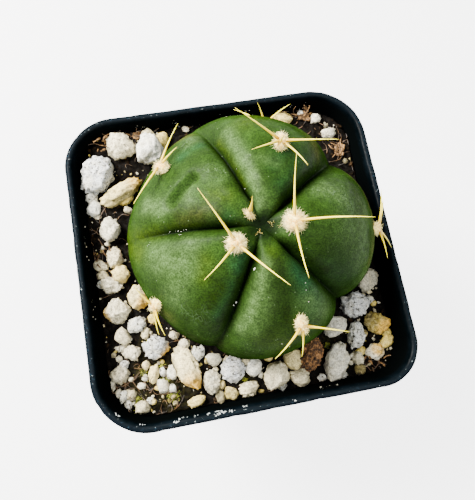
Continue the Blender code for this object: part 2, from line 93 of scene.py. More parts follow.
# How round the lip's corners are: back right, back left, front left, front right.
LIP_CORNERS = (12.3 * MM, 11.3 * MM, 12 * MM, 9.2 * MM)
BASE_CORNER = 8 * MM
WALL = 0.9 * MM
LIP_WIDTH = 1.7 * MM
LIP_DROP = 5 * MM
FOOT_WIDTH = 2 * MM
FLOOR_LIFT = 2.5 * MM
FLOOR_THICKNESS = 1.1 * MM
DRAIN_RADIUS = 2.8 * MM
DRAIN_OFFSET = 14 * MM
DRAIN_SIDES = 28
NOTCH_WIDTH = 5 * MM
FOOT_BEVEL = 0.2 * MM
BASE_BEVEL = 0.3 * MM
CORNER_STEPS = 14
SIDE_STEPS = 30
LIP_STEPS = 12
LIP_WAVE = 0.22 * MM
# Where the rows of the outer wall lie, as shares of the way up to the lip.
SKIRT_LEVELS = (0.25, 0.5, 0.75, 0.98, 1)
# The lip's outer face: how far in from the rim and how far over the skirt, in millimetres.
LIP_FACE = ((0.5, 0), (0.1, 0.2), (0, 0.6), (0, 2.4))
# How far below the rim the rows of the inner wall lie, in millimetres.
INNER_DROPS = (2, 4, 6.5, 9, 12, 20, 35, 50)
FLAKE_SIDES = 9
# Crusts of lime on the lip, in millimetres: x, y, reach along the lip and across it, and flakes.
LIME_CRUSTS = (
    (-18.8, -33.7, 0.7, 0.3, 4), (-17.4, -33.4, 0.9, 0.4, 5), (-14.9, -33.3, 0.5, 0.2, 3),
    (-12.4, -33.5, 0.6, 0.15, 3), (-10.4, -33.8, 0.5, 0.6, 12), (-9, -33.5, 0.9, 0.3, 10),
    (-7.4, -33.8, 0.8, 0.15, 5), (-4.4, -33.4, 0.8, 0.2, 4), (6, -34.1, 0.6, 0.2, 3),
    (-25.6, -32.4, 0.8, 0.2, 3), (-29.2, -29.4, 1, 0.2, 4),
)

# Potting mix
SOIL_DROP = 8 * MM
# It rises towards the back and the left: by how much, and over what distance.
SOIL_BACK_RISE = 3.2 * MM
SOIL_BACK_START = -5 * MM
SOIL_BACK_RUN = 35 * MM
SOIL_LEFT_RISE = 0.8 * MM
SOIL_LEFT_RUN = 32 * MM
SOIL_GRID = 176
SOIL_LUMPS = ((5, 0.6), (2.1, 0.42), (0.9, 0.3), (0.42, 0.12))
# How far the mix stays from the wall.
SOIL_GAP = 0.1 * MM
# Where its hidden sides are bent, under the top and over the floor.
SOIL_LEVELS = (50 * MM, 30 * MM)
# How far stones and grains stay from the wall.
GRAIN_GAP = 0.2 * MM

# Cactus body
BODY_CENTRE = Vector((1.9 * MM, 1 * MM, POT_HEIGHT + 3.6 * MM))
BODY_LEAN_X = math.radians(5)
BODY_LEAN_Y = math.radians(-8)
BODY_RADIUS = 26.4 * MM
# How far the body rises over its widest ring, and how far it would reach under it.
BODY_RISE = 18.8 * MM
BODY_DROP = 20.6 * MM
BODY_ROUNDNESS = 0.9
CROWN_PIT = 3.2 * MM
CROWN_PIT_RADIUS = 5 * MM
# Where the root begins. It's an angle from the crown in radians, as all angles on the body are.
NECK_ANGLE = 2.5
ROOT_LENGTH = 20 * MM
ROOT_TIP_RADIUS = 0.8 * MM
# The ribs, anticlockwise from the right. For each: the heading of the groove before it and that
# groove's twist per radian, both in degrees, and how far the rib swells out.
RIB_NAMES = "CBAED"
GROOVE_AZIMUTHS = (-47, 34, 105, 173, 244)
GROOVE_TWISTS = (4, -3.5, 4, 3, 0)
RIB_SWELLS = (0.6 * MM, -0.5 * MM, -2.7 * MM, -2.9 * MM, -0.7 * MM)
# The angle at which each groove runs along its heading.
TWIST_LEVEL = 0.8
GROOVE_DEPTH = 3.5 * MM
GROOVE_SHARPNESS = 3.2
# Share of its depth that each groove has lost by the foot of the body.
GROOVE_FADES = (0.25, 0.65, 0.8, 0.65, 0.35)
# The swelling below each areole: its height, length and distance down the rib.
CHIN_HEIGHT = 0.8 * MM
CHIN_LENGTH = 0.26
CHIN_DROP = 0.16
SKIN_RINGS = 170
SKIN_COLUMNS = 48
ROOT_RINGS = 10
CREASE_DEPTH = 1.5 * MM
CREASE_WIDTH = 0.12
# The skin's dents and bumps point away from a place this far under the body's centre.
SWELL_DROP = 4 * MM

# Marks on the skin. Each is a stroke along a rib, from one place to another: the rib's letter, then
# two places, each an angle from the crown in hundredths of a radian and a percentage across the
# rib, and last a reach in millimetres and a strength.
STROKE_STEPS = 8
DENTS = (
    ("A", 75, 72, 67, 42, 0.85, 1.4), ("A", 100, 50, 95, 20, 2.4, 0.35), ("B", 40, 90, 44, 50, 0.8, 0.3),
)
MARKS = {
    # Bloom strokes: partly the skin's waxy bloom, partly painted highlight on flanks that face the key light
    # and painted light on shaded flanks.
    "bloom_and_painted_light": (
        ("E", 92, 20, 68, 32, 3.2, 0.9), ("E", 74, 42, 100, 50, 2.6, 0.55),
        ("E", 56, 20, 60, 30, 2.4, 0.6), ("A", 104, 76, 84, 80, 1.8, 0.8),
        ("A", 59, 66, 62, 57, 1.5, 0.6), ("A", 112, 14, 120, 10, 1.6, 0.6), ("A", 60, 30, 50, 20, 2, 0.3),
        ("B", 90, 88, 54, 90, 1.5, 0.75), ("B", 50, 88, 12, 84, 1.5, 1), ("B", 46, 66, 44, 50, 1.4, 0.3),
        ("D", 24, 24, 86, 9, 1.3, 1), ("D", 50, 26, 80, 20, 1.9, 0.4), ("D", 90, 70, 86, 84, 2, 0.4),
        ("C", 55, 84, 64, 66, 2.6, 0.5), ("C", 14, 64, 12, 50, 1.5, 0.7),
        ("C", 115, 20, 120, 50, 2.2, 0.8), ("C", 60, 50, 90, 35, 4, 0.4), ("C", 84, 44, 98, 60, 2.4, 0.6),
        ("D", 65, 74, 90, 82, 2.4, 0.7),
    ),
    "warm": (
        ("A", 150, 97, 95, 98, 1.8, 0.9), ("A", 95, 94, 50, 95, 1, 0.6), ("A", 30, 42, 42, 50, 1.7, 0.6),
        ("B", 90, 96, 33, 96, 1, 1), ("B", 110, 60, 90, 75, 2.4, 0.6), ("E", 48, 40, 60, 54, 1.6, 0.9),
        ("E", 140, 4, 120, 10, 2.2, 0.9), ("D", 14, 50, 24, 46, 1.4, 0.5), ("D", 90, 34, 100, 40, 3, 0.5),
        ("C", 110, 30, 90, 20, 2, 0.3), ("C", 80, 50, 90, 70, 2.4, 0.3),
    ),
    "teal": (
        ("E", 24, 70, 34, 84, 1.7, 0.5), ("E", 49, 86, 80, 88, 1.8, 0.5), ("D", 36, 84, 72, 78, 2.4, 0.7),
        ("A", 98, 30, 96, 12, 1.3, 0.42), ("A", 35, 80, 25, 80, 1.5, 0.4),
        ("B", 40, 50, 60, 40, 1.8, 0.35), ("C", 59, 12, 90, 14, 3, 0.3), ("B", 30, 30, 60, 20, 2, 0.3),
    ),
    # Deep strokes: partly dark green patches of the skin, partly painted shade along the grooves, in the
    # dent on rib A and on flanks turned from the key light.
    "deep": (
        ("A", 74, 70, 68, 45, 0.8, 0.95), ("A", 32, 80, 64, 85, 2.2, 0.85),
        ("A", 30, 10, 75, 5, 1.8, 0.5), ("B", 30, 10, 60, 6, 2.2, 0.9), ("B", 40, 50, 48, 25, 2.6, 0.5),
        ("C", 30, 6, 60, 8, 2, 0.9), ("C", 45, 20, 95, 12, 2.8, 0.6), ("D", 24, 55, 72, 46, 1.7, 1),
        ("D", 50, 42, 85, 30, 2, 0.7), ("D", 20, 94, 60, 96, 1.4, 0.6), ("E", 55, 75, 90, 75, 2.6, 1),
        ("E", 95, 64, 112, 70, 2.2, 0.7), ("E", 85, 95, 40, 95, 2.2, 0.9),
        ("E", 120, 70, 110, 50, 2.2, 0.4),
    ),
    "olive": (
        ("C", 125, 85, 116, 30, 1.3, 0.9), ("C", 110, 42, 120, 30, 1.6, 0.3),
        ("A", 150, 34, 134, 10, 1.5, 0.9), ("A", 36, 78, 60, 88, 1.7, 0.26),
        ("B", 105, 20, 90, 12, 2, 0.6), ("E", 140, 50, 130, 60, 1.5, 0.4),
    ),
    "scurf": (
        ("C", 56, 86, 68, 62, 2.6, 1), ("A", 53, 20, 56, 24, 1.7, 1), ("A", 118, 12, 110, 18, 1.5, 0.9),
        ("E", 94, 73, 86, 80, 1.8, 0.7), ("E", 100, 60, 100, 66, 1.5, 0.7),
        ("C", 50, 30, 50, 34, 1.6, 0.4),
    ),
}
# The colour that each mark adds, in the order in which they lie over each other. The pale bloom colour is
# partly painted highlight and painted light, and the dark deep colour is partly painted shade.
MARK_TONES = {
    "warm": (35, 50, 4), "teal": (18, 52, 29), "deep": (14, 26, 3), "bloom_and_painted_light": (53, 72, 37),
    "olive": (56, 56, 26),
}
# Chalky crumbs lying on the skin: the same places, then how many and their size in millimetres.
FLECKS = (
    ("D", 30, 9, 30, 10, 1, 0.5), ("E", 68, 98, 69, 99, 2, 0.55), ("A", 95, 98.5, 62, 99, 12, 0.11),
    ("E", 110, 6, 60, 3, 5, 0.1), ("C", 50, 90, 66, 60, 4, 0.14), ("D", 50, 80, 70, 70, 3, 0.2),
    ("D", 80, 30, 110, 50, 3, 0.14), ("B", 30, 98, 50, 97, 3, 0.12),
)

# Areoles of each rib, young then old: their angles from the crown and their shares across it.
AREOLE_ANGLES = ((0.18, 1.27), (0.63, 1.72), (0.1, 1.09), (0.2, 1.33), (0.8,))
AREOLE_SHARES = ((0.56, 0.5), (0.47, 0.5), (0.42, 0.44), (0.44, 0.47), (0.58,))
# How far round an areole the skin's slope is measured, as an angle and as a share.
AREOLE_STEP = 0.06
HUB_HEIGHT = 1.9 * MM
SPINE_RADIUS = 0.42 * MM
# How far from the areole's middle a spine comes out, how high over the skin, and its bow.
SPINE_START = 0.75 * MM
SPINE_ROOT_HEIGHT = 0.95 * MM
SPINE_ROOT = 0.27 * MM
SPINE_RISE = 0.03
SPINE_STEPS = 18
SPINE_SIDES = 8
# Each spine's turn round its areole and rise over the skin in degrees, and length in millimetres.
SPINES = {
    "a_young": ((-34, 30, 3.8),),
    "a_old": ((-90, 8, 8.9), (-132, 8, 5.2), (102, 4, 9.9)),
    "b_young": ((91, 20, 10.8), (165, 50, 4), (-87, 18, 10.3), (-141, 10, 7.8), (138, 10, 8.6)),
    "b_old": ((144, 16, 5.4), (-131, 30, 6.6), (0, 12, 7), (70, 14, 8), (-65, 14, 8)),
    "c_young": ((78, 22, 11.7), (-9, 11, 13.8), (-84, 22, 11.5)),
    "c_old": ((98, 4, 8.1), (70, 6, 7), (-75, 5, 6.6), (-28, 10, 8.4)),
    "d_young": ((-89, 20, 8.5), (64, 20, 8.6), (-25, 8, 5.8)),
    "e_young": ((-84, 15, 11.8), (14, 20, 9.5), (104, 28, 12.3)),
    "e_old": ((-109, 8, 6), (61, 8, 5.9), (88, 10, 5.9)),
}
# Wool tufts by areole: length along the rib, width and height in millimetres, then the hairs.
TUFTS = {
    "a_young": (2.4, 1.1, 0.8, 180), "a_old": (3.4, 2.6, 1.4, 520), "b_young": (4.5, 2.4, 1.6, 620),
    "b_old": (3.8, 2.6, 1.3, 420), "c_young": (3.9, 3.9, 1.9, 900), "c_old": (3.8, 2.5, 1.4, 460),
    "d_young": (4.6, 2.1, 1.6, 560), "e_young": (3.4, 3.3, 1.8, 760), "e_old": (3.5, 2.4, 1.5, 460),
}
HAIR_RADIUS = 0.029 * MM
# Wisps of wool in the crown: rib, angle from the crown, share across, reach and hairs.
CROWN_WISPS = (("E", 0.03, 0.88, 0.9, 9), ("C", 0.05, 0.6, 0.8, 8), ("C", 0.09, 0.5, 0.6, 6))

# Dressing stones, as in the part's source but for the first word, which is the kind of stone:
# x, y, length, width, height, turn and lift. All but the scoria are pumice.
STONES = {
    "grey_left": ("grey", -28.6, 23.2, 8.6, 6.4, 6, 74, 1),
    "pale_back": ("specked", -22.5, 29, 6.6, 5.6, 5, -9, 0.8),
    "white_back": ("smooth", -15.6, 27, 7.8, 6.2, 5.8, 82, 1.2),
    "bean": ("cream", -23.6, 18.2, 9.8, 4.2, 4.2, 23, 0.8),
    "left_a": ("smooth", -30.5, 15.6, 3.6, 3.2, 3, 83, 0.3),
    "left_b": ("chalky", -27.7, 9.8, 5.8, 4.6, 4.2, 83, 0.6),
    "left_c": ("chalky", -27.6, 3.4, 4.6, 3.6, 3.4, 83, 0.5),
    "left_d": ("rough", -29.2, -2.6, 5.2, 3.6, 3.2, -10, 0.4),
    "left_e": ("specked", -28.9, -8.7, 6, 5.2, 4.6, -25, 0.8),
    "yellow": ("yellow", -23.4, -6.4, 5, 4.4, 4.2, 82, 0.6),
    "left_f": ("porous", -24.8, -12.2, 3.8, 3.5, 3.2, -10, 0.4),
    "left_g": ("rough", -26.6, -18.4, 3.6, 3.3, 3, -10, 0.3),
    "corner": ("dimmed_for_shade", -29.6, -22.4, 4.2, 3.8, 3.6, -10, 0.4),
    "speckled": ("porous", -21.2, -17.9, 5.3, 4.8, 4.4, -10, 0.6),
    "long": ("cream", -15.5, -23.6, 9.4, 5, 4.8, -71, 1),
    "front_a": ("dimmed_for_shade", -10.4, -27.6, 5, 3.6, 3.6, 65, 0.6),
    "grey_front": ("grey", -5.3, -25.7, 5.4, 4.8, 4.6, 80, 0.8),
    "front_b": ("chalky", -2.7, -30.3, 4.8, 3.4, 3.4, -1, 0.4),
    "front_c": ("smooth", -0.4, -26.3, 4, 3.6, 3.4, -10, 0.5),
    "front_d": ("cream", 4.2, -28.4, 6.6, 5.2, 5, 58, 0.9),
    "front_e": ("chalky", 9.4, -30.2, 4.4, 3.6, 3.4, -1, 0.4),
    "scoria": ("scoria", 12.6, -25.6, 7.2, 4.8, 5, 62, 1),
    "white_front": ("angular", 17.9, -27.9, 8.6, 5.2, 5.4, 62, 1.2),
    "right_a": ("dimmed_for_shade", 29.1, -11.4, 5.6, 4.6, 4.2, 47, 0.8),
    "porous": ("porous", 25, -16.8, 6.2, 5.4, 5, 9, 1),
    "right_b": ("angular", 19.6, -20.6, 5.4, 4.6, 4.6, 33, 0.8),
    "right_c": ("grey", 23.6, -23.4, 5.6, 3.8, 4, 66, 0.8),
    "beige": ("tan", 29.2, -21.6, 5.4, 5, 4.8, -10, 0.9),
    "right_d": ("specked", 27.2, -27.6, 4.6, 3.6, 3.6, 9, 0.5),
    "far": ("yellow", 17.2, 30.5, 4.8, 3.2, 3.2, -9, 0.4),
}
GREY_STONES = ("grey_left", "speckled", "grey_front", "porous")
STONE_LUMPS = 0.22
STONE_SEED = 5
# Stones are enlarged by this, because their cuts and hollows draw them in.
STONE_SCALE = 1.1
STONE_VALUES = ("yellow", "grey", "pit", "stain", "specks")
# Kinds of stone: flat faces, lumps, pits, greyness, yellowness.
KINDS = {
    "smooth": (6, 0.12, 0.05, 0, 0.1), "chalky": (9, 0.17, 0.35, 0.18, 0.48),
    "rough": (8, 0.22, 0.5, 0.34, 0.5), "specked": (8, 0.15, 0.7, 0.04, 0.4),
    # Painted shade: the kind after grey on this line is greyed for stones that lie in the wall's shade.
    "grey": (8, 0.19, 1.1, 0.36, 0.02), "dimmed_for_shade": (8, 0.17, 0.5, 0.55, 0.4),
    "porous": (8, 0.2, 1.3, 0.42, 0.08), "cream": (7, 0.15, 0.4, 0.06, 0.76),
    "yellow": (6, 0.14, 0.45, 0.2, 1), "tan": (8, 0.18, 0.6, 0.8, 1),
    "angular": (14, 0.11, 0.3, 0.28, 0.24), "dirty": (10, 0.24, 0.6, 0.9, 0.8),
    "chip": (13, 0.2, 0.4, 0.36, 0.4),
}
# Orange stains: the side of the stone that has one, as a direction in the stone's own axes.
STAINS = {
    "bean": (1, 0, 0.1), "long": (1, 0, 0.2), "left_e": (-1, -0.6, -0.1), "yellow": (-0.6, -0.8, 0.4),
    "beige": (0.6, -0.4, 0.5), "speckled": (0.8, -0.6, -0.5), "right_d": (0.4, 0.2, 0.8),
}
SCORIA_GRAINS = 260
# Small stones between them, by kind: x, y, length and width.
SMALL_STONES = {
    "rough": (
        (-28, -14.5, 3.5, 4), (-23, -14.5, 2, 2.5), (-29.5, -19, 1.5, 1.5), (-17, -16, 2, 2),
        (-6, -23.5, 2.5, 2), (-28, -27, 3, 2), (-26, -31, 3, 3), (-31, 2, 4, 2.5), (-30.5, 0, 2.5, 2),
        (-2, -24.5, 2, 2),
    ),
    "yellow": (
        (-21, -11.5, 2, 2.5), (-14, -31, 4, 2.5), (-22.5, -23.5, 2.5, 4), (-24, -21.5, 2, 2),
        (-26.5, -0.5, 4, 4), (8.5, -26, 4, 4.5), (31, -24, 2.5, 2.5), (30.5, -26, 4, 2.5),
        (24, -27, 2.5, 2), (3, -24.5, 2, 2), (-15.5, 31, 3.5, 3.5), (-12.5, 29.5, 3.5, 3.5),
        (-23, 16.5, 3.5, 2.5),
    ),
    "chip": (
        (-21.5, -15.5, 1.5, 1), (-29, -17, 2.5, 1.5), (-15, -18.5, 2.5, 2.5), (-9, -23, 4, 3),
        (-21, -26.5, 3, 3.5), (-18.5, -24, 2.5, 3), (-24.5, -24, 1.5, 1.5), (-25.5, -25.5, 2, 1.5),
        (-31, -26.5, 2, 2), (-31.5, -24.5, 1, 2.5), (23, -28.5, 3, 3), (-6.5, 31.5, 2, 1.5),
        (-23, 14, 2, 2), (-30, 13.5, 2, 1), (25, 29.5, 3, 3), (27.5, 25.5, 3.5, 3),
    ),
    "porous": (
        (-28.5, -20.5, 2, 2), (-12.5, -21, 3, 4), (-19, -27.5, 2, 2), (-20.5, -23.5, 2, 2),
        (-31, -28, 2.5, 2.5), (-30, -30, 1.5, 2), (-31.5, -2, 2, 2), (19.5, -25.5, 2.5, 2.5),
        (14, -31, 2, 2), (-30, 20.5, 1.5, 1.5), (-30.5, 18, 3, 2.5), (-26, 23, 2, 1.5),
        (-20.5, 14, 2, 1.5), (-24, -29, 1.5, 1.5), (5, -31.5, 2, 1.5), (19, -31.5, 2, 1.5),
        (29, -16, 2, 2), (22, 31.5, 2, 1.5),
    ),
    "tan": (
        (-9, -31, 2, 3), (-8.5, -28.5, 2, 2), (-6.5, -30.5, 3, 3), (23, -31, 2.5, 2.5),
        (0, -31.5, 1.5, 1),
    ),
}
GRIT_COUNT = 230
GRIT_KINDS = ("chip", "dirty", "rough", "dirty", "tan", "chip", "yellow")
# Grit and peat crumbs are strewn this far out from the middle.
STREWN = 33 * MM
PEAT_COUNT = 620
# Bark chips, as in the part's source: x, y, length, width and turn.
BARK_CHIPS = {
    "bark_left": (-17.9, 31.4, 2.8, 1.6, 0),
    "bark_back": (22.6, 30.4, 3.4, 2, -15),
    "bark_right": (29.6, 21, 3.4, 2.2, 70),
}
BARK_THICKNESS = 1.1 * MM
BARK_STRIPS = 5
BARK_SIDES = 7
# Where loose fibres gather: x, y, reach and how many.
FIBRE_PATCHES = (
    (-20, 32, 4, 26), (-24, 33, 3, 12), (22, 30, 4, 16), (29, 22, 4, 18), (-30, -24, 6, 26),
    (-26, -22, 6, 30), (-22, -28, 6, 34), (-30, 5, 5, 24), (-29, 11, 4, 12), (26, -29, 5, 22),
    (28, 8, 4, 10), (0, 0, 34, 150),
)
# Where curls of bark lie in a heap, and where crumbs stick to the inside of the wall.
CURL_PATCHES = (
    (-22.6, 31.4, 2.4, 24), (-25.6, 30.2, 1.5, 8), (22.4, 31, 1.6, 8), (28.8, 21, 1.6, 8),
    (27, -28.6, 2, 9), (-30.4, 3, 2.4, 8),
)
WALL_CRUMBS = (
    (-17, 33, 2, 9), (-9, 33, 1.6, 6), (5, 33, 3, 12), (10, 33, 2.6, 9), (20, 33, 3, 5),
    (14, -33, 3.4, 7), (-33, 7, 4, 7), (-33, -9, 4, 6),
)
WALL_CRUMB_DROPS = (1.8, 5)
# Kinds of strand, in millimetres but for the steepness and the curl: clearance from the wall,
# lift over the mix, steepest heading, length, radius and curl.
FIBRE = (0.5, (0, 0.6), 0.45, (1.2, 4.4), (0.05, 0.13), (0.2, 2))
CURL = (0.7, (0.2, 1.3), 0.7, (1, 3), (0.12, 0.26), (1, 2.6))
STRAND_STEPS = 8
STRAND_SIDES = 5
# Where moss grows: x, y and reach.
MOSS_PATCHES = (
    (-19, -29, 1.5), (-20.4, -25.2, 1.2), (-24.6, -22.8, 1.2), (-22.5, -17.4, 0.9), (-20.8, -22.2, 0.8),
    (-27, -28.6, 1.6), (-3, -28.4, 0.7), (17, -24.4, 0.8),
)
MOSS_DENSITY = 130


def tone(red, green, blue):
    """A linear colour from the three bytes that a screen would show for it."""
    shares = [value / 255 for value in (red, green, blue)]
    linear = [s / 12.92 if s <= 0.04045 else ((s + 0.055) / 1.055) ** 2.4 for s in shares]
    return (*linear, 1)


def clamp(value, low=0.0, high=1.0):
    return max(low, min(high, value))


def smooth_step(value, low, high):
    share = np.clip((value - low) / (high - low), 0, 1)
    return share * share * (3 - 2 * share)


def scattered(rng, reach=1.0):
    """A random vector, each of its parts from minus reach to reach."""
    return Vector([rng.uniform(-reach, reach) for _ in range(3)])


def spun(degrees, axis="Z"):
    return Matrix.Rotation(math.radians(degrees), 4, axis)


def placed(origin, right, ahead, up):
    """Moves +X, +Y and +Z to the three directions, and zero to the origin."""
    return Matrix.Translation(origin) @ Matrix((right, ahead, up)).transposed().to_4x4()


# Materials


class Finish:
    """A node material under construction. Sizes are in millimetres, colours are screen bytes."""

    def __init__(self, name, **sockets):
        self.material = bpy.data.materials.new(name)
        self.material.use_nodes = True
        self.tree = self.material.node_tree
        self.shader = self.tree.nodes["Principled BSDF"]
        for socket, value in sockets.items():
            self.set(socket.replace("_", " "), value)
        self.place = self.tree.nodes.new("ShaderNodeTexCoord").outputs["Object"]
        self.colour = None

    def put(self, value, socket):
        """Gives a socket a value, another socket's output or a named value of the mesh."""
        if isinstance(value, str):
            value = self.node("Attribute", "Fac", {}, attribute_name=value)
        if isinstance(value, bpy.types.NodeSocket):
            self.tree.links.new(value, socket)
        else:
            socket.default_value = value

    def set(self, socket, value):
        self.put(value, self.shader.inputs[socket])

    def node(self, kind, output, inputs, **settings):
        """Adds a node with its settings and inputs, and gives one of its outputs."""
        added = self.tree.nodes.new("ShaderNode" + kind)
        for name, value in settings.items():
            setattr(added, name, value)
        for name, value in inputs.items():
            self.put(value, added.inputs[name])
        return added.outputs[output]

    def math(self, operation, first, second=0.0):
        return self.node("Math", 0, {0: first, 1: second}, operation=operation)

    def times(self, first, second):
        return self.math("MULTIPLY", first, second)

    def noise(self, size, detail=3, rough=0.55, bend=0.0):
        inputs = {"Vector": self.place, "Scale": 1 / (size * MM)}
        inputs |= {"Detail": detail, "Roughness": rough, "Distortion": bend}
        return self.node("TexNoise", "Fac", inputs)

    def cells(self, size, output):
        return self.node("TexVoronoi", output, {"Vector": self.place, "Scale": 1 / (size * MM)})

    def ramp(self, value, low, high, start=0.0, end=1.0):
        """Moves a value smoothly from start to end as it goes from low to high."""
        inputs = {"Value": value, "From Min": low, "From Max": high, "To Min": start, "To Max": end}
        return self.node("MapRange", "Result", inputs, interpolation_type="SMOOTHSTEP")

    def spots(self, size, low=0.3, high=0.7, start=0.0, end=1.0, detail=3, rough=0.55):
        """Noise that runs from start to end over the spots where it is high."""
        return self.ramp(self.noise(size, detail, rough), low, high, start, end)

    def mix(self, share, first, second, blend="MIX"):
        inputs = {0: share, 6: first, 7: second}
        return self.node("Mix", 2, inputs, data_type="RGBA", blend_type=blend)

    def base(self, share, first, second):
        self.colour = self.mix(share, tone(*first), tone(*second))

    def tint(self, share, *colour):
        """Lays another colour over the one so far."""
        self.colour = self.mix(share, self.colour, tone(*colour))

    def shade(self, factor):
        """Makes the colour so far lighter or darker."""
        self.colour = self.node("VectorMath", 0, {0: self.colour, "Scale": factor}, operation="SCALE")

    def gloss(self, level, start=0.3, end=0.8):
        """A sheen that fades where the surface turns away, so the pale floor doesn't veil it."""
        facing = self.node("LayerWeight", "Facing", {"Blend": 0.5})
        self.set("Specular IOR Level", self.ramp(facing, start, end, level, 0))

    def done(self, roughness, *bumps):
        """Wires up the colour, the roughness and the bumps, each a height and a depth."""
        self.set("Base Color", self.colour)
        self.set("Roughness", roughness)
        under = {}
        for height, depth in bumps:
            inputs = {"Height": height, "Distance": depth * MM}
            under = {"Normal": self.node("Bump", "Normal", inputs | under)}
        self.set("Normal", under["Normal"])
        return self.material


def skin_finish():
    made = Finish("cactus_skin_waxy")
    made.gloss(0.022)
    made.base(made.spots(5, 0.38, 0.64), (21, 37, 7), (28, 47, 12))
    loose = made.spots(2.2, 0.3, 0.62, 0.6, 1.1, detail=4, rough=0.6)
    # Each mark lays its colour on: the bloom marks are partly painted highlight and painted light, the deep
    # marks partly painted shade.
    for mark, colour in MARK_TONES.items():
        made.tint(made.times(mark, loose), *colour)
    # Painted shade: the grooves and the crown are darkened to near-black green.
    made.tint("crease", 2, 8, 1)
    grain = made.noise(0.3, 2, 0.7)
    made.shade(made.ramp(grain, 0.32, 0.7, 0.56, 1.48))
    soft = made.noise(1.1, 3, 0.6)
    made.shade(made.ramp(soft, 0.3, 0.7, 0.86, 1.14))
    lines = made.math("SUBTRACT", made.noise(1.5, 1, 0.5, 0.6), 0.5)
    line = made.ramp(made.math("ABSOLUTE", lines), 0.004, 0.03, 1, 0)
    made.tint(made.times(made.times(line, "scurf"), 0.27), 84, 106, 76)
    picked = made.ramp(made.cells(1.25, "Color"), 0.62, 0.66)
    dot = made.times(made.ramp(made.cells(1.25, "Distance"), 0.05, 0.11, 1, 0), picked)
    made.tint(made.times(dot, 0.5), 96, 114, 82)
    return made.done(made.spots(1.6, start=0.4, end=0.58), (soft, 0.05), (grain, 0.03))


def wool_finish():
    made = Finish("areole_wool_cream", Sheen_Weight=0.3, Sheen_Roughness=0.4)
    strands = made.noise(0.3, 2)
    made.base("tip", (240, 198, 66), (255, 250, 176))
    made.tint(made.times("core", made.ramp(strands, 0.3, 0.6)), 204, 146, 24)
    made.tint("gold", 176, 150, 16)
    made.shade(made.ramp(strands, 0.28, 0.62, 0.8, 1.06))
    return made.done(0.85, (made.noise(0.16, 2), 0.05))


def spine_finish():
    made = Finish("spine_straw_horn", Coat_Weight=0.1, Coat_Roughness=0.25, Specular_IOR_Level=0.3)
    made.base(made.ramp("along", 0, 0.2), (166, 128, 0), (200, 172, 14))
    made.tint(made.ramp("along", 0.2, 0.7), 220, 206, 44)
    made.tint(made.ramp("along", 0.86, 1), 206, 190, 60)
    made.tint("gold", 168, 138, 0)
    made.shade(made.spots(0.5, start=0.86, end=1.1))
    return made.done(made.spots(0.8, start=0.38, end=0.6), (made.noise(0.2, 2), 0.02))


def stone_finish(name, light, dull):
    made = Finish(name, Specular_IOR_Level=0.1)
    made.base("grey", light, dull)
    yellowed = made.mix(1.0, made.colour, tone(234, 206, 104), "MULTIPLY")
    made.colour = made.mix("yellow", made.colour, yellowed)
    made.tint(made.times(made.spots(1.5, 0.42, 0.66, detail=4, rough=0.6), 0.42), 168, 156, 116)
    made.tint(made.times("stain", made.spots(1.2, 0.25, 0.55, 0.4)), 206, 160, 58)
    mottle = made.noise(0.75, 3, 0.65)
    made.shade(made.ramp(mottle, 0.34, 0.6, 0.62, 1.06))
    grain = made.noise(0.26, 3, 0.7)
    made.shade(made.ramp(grain, 0.32, 0.62, 0.5, 1.12))
    # Painted shade: the pits and the stone's lower side are darkened.
    made.tint("pit", 52, 46, 36)
    speck = made.spots(0.55, 0.57, 0.64, detail=2, rough=0.6)
    made.tint(made.times(speck, "specks"), 58, 54, 46)
    return made.done(made.ramp(grain, 0.3, 0.7, 0.8, 0.98), (mottle, 0.3), (grain, 0.16))


def scoria_finish():
    made = Finish("scoria_rust", Specular_IOR_Level=0.3)
    made.base(made.spots(0.7, 0.34, 0.66), (44, 27, 12), (132, 92, 52))
    # Painted shade: the pits and the cinder's lower side are darkened.
    made.tint("pit", 18, 8, 4)
    made.shade(made.spots(0.24, 0.36, 0.64, 0.5, 1.5, detail=2))
    return made.done(made.spots(0.6, start=0.75, end=0.95), (made.noise(0.28), 0.16))


def soil_finish():
    made = Finish("potting_mix_dark", Specular_IOR_Level=0.03)
    crumb = made.noise(0.8, 4, 0.65)
    made.base(made.ramp(crumb, 0.42, 0.68), (4, 3, 2), (12, 9, 6))
    made.tint(made.spots(0.35, 0.6, 0.76, rough=0.7), 34, 23, 10)
    made.tint(made.times("moss", made.ramp(crumb, 0.36, 0.6)), 26, 24, 5)
    damp = made.spots(0.9, 0.35, 0.65, 0.5, 0.95)
    return made.done(damp, (crumb, 0.3), (made.noise(0.3, 3, 0.7), 0.12))


def crumb_finish():
    made = Finish("peat_dark", Specular_IOR_Level=0.04)
    made.base(made.spots(1.3, 0.4, 0.66), (5, 4, 2), (30, 20, 8))
    made.tint(made.spots(0.3, 0.6, 0.74, rough=0.7), 66, 46, 22)
    return made.done(made.spots(0.6, start=0.6, end=0.95), (made.noise(0.3), 0.1))


def bark_finish():
    made = Finish("bark_brown_fibrous", Specular_IOR_Level=0.3)
    made.base(made.spots(0.6, 0.36, 0.66, detail=4), (54, 36, 16), (128, 94, 52))
    made.tint(made.spots(0.28, 0.5, 0.7, detail=2), 22, 12, 4)
    return made.done(made.spots(0.5, start=0.6, end=0.9), (made.noise(0.25), 0.1))


def fibre_finish():
    made = Finish("coir_fibre")
    made.base(made.spots(1.4, 0.38, 0.64), (20, 12, 4), (80, 54, 20))
    made.shade(made.spots(0.3, start=0.7, end=1.15))
    return made.done(0.6, (made.noise(0.12, 2), 0.03))


def moss_finish():
    made = Finish("moss_green")
    made.base(made.spots(0.6, 0.36, 0.64), (50, 60, 4), (140, 142, 18))
    return made.done(0.8, (made.noise(0.2), 0.08))


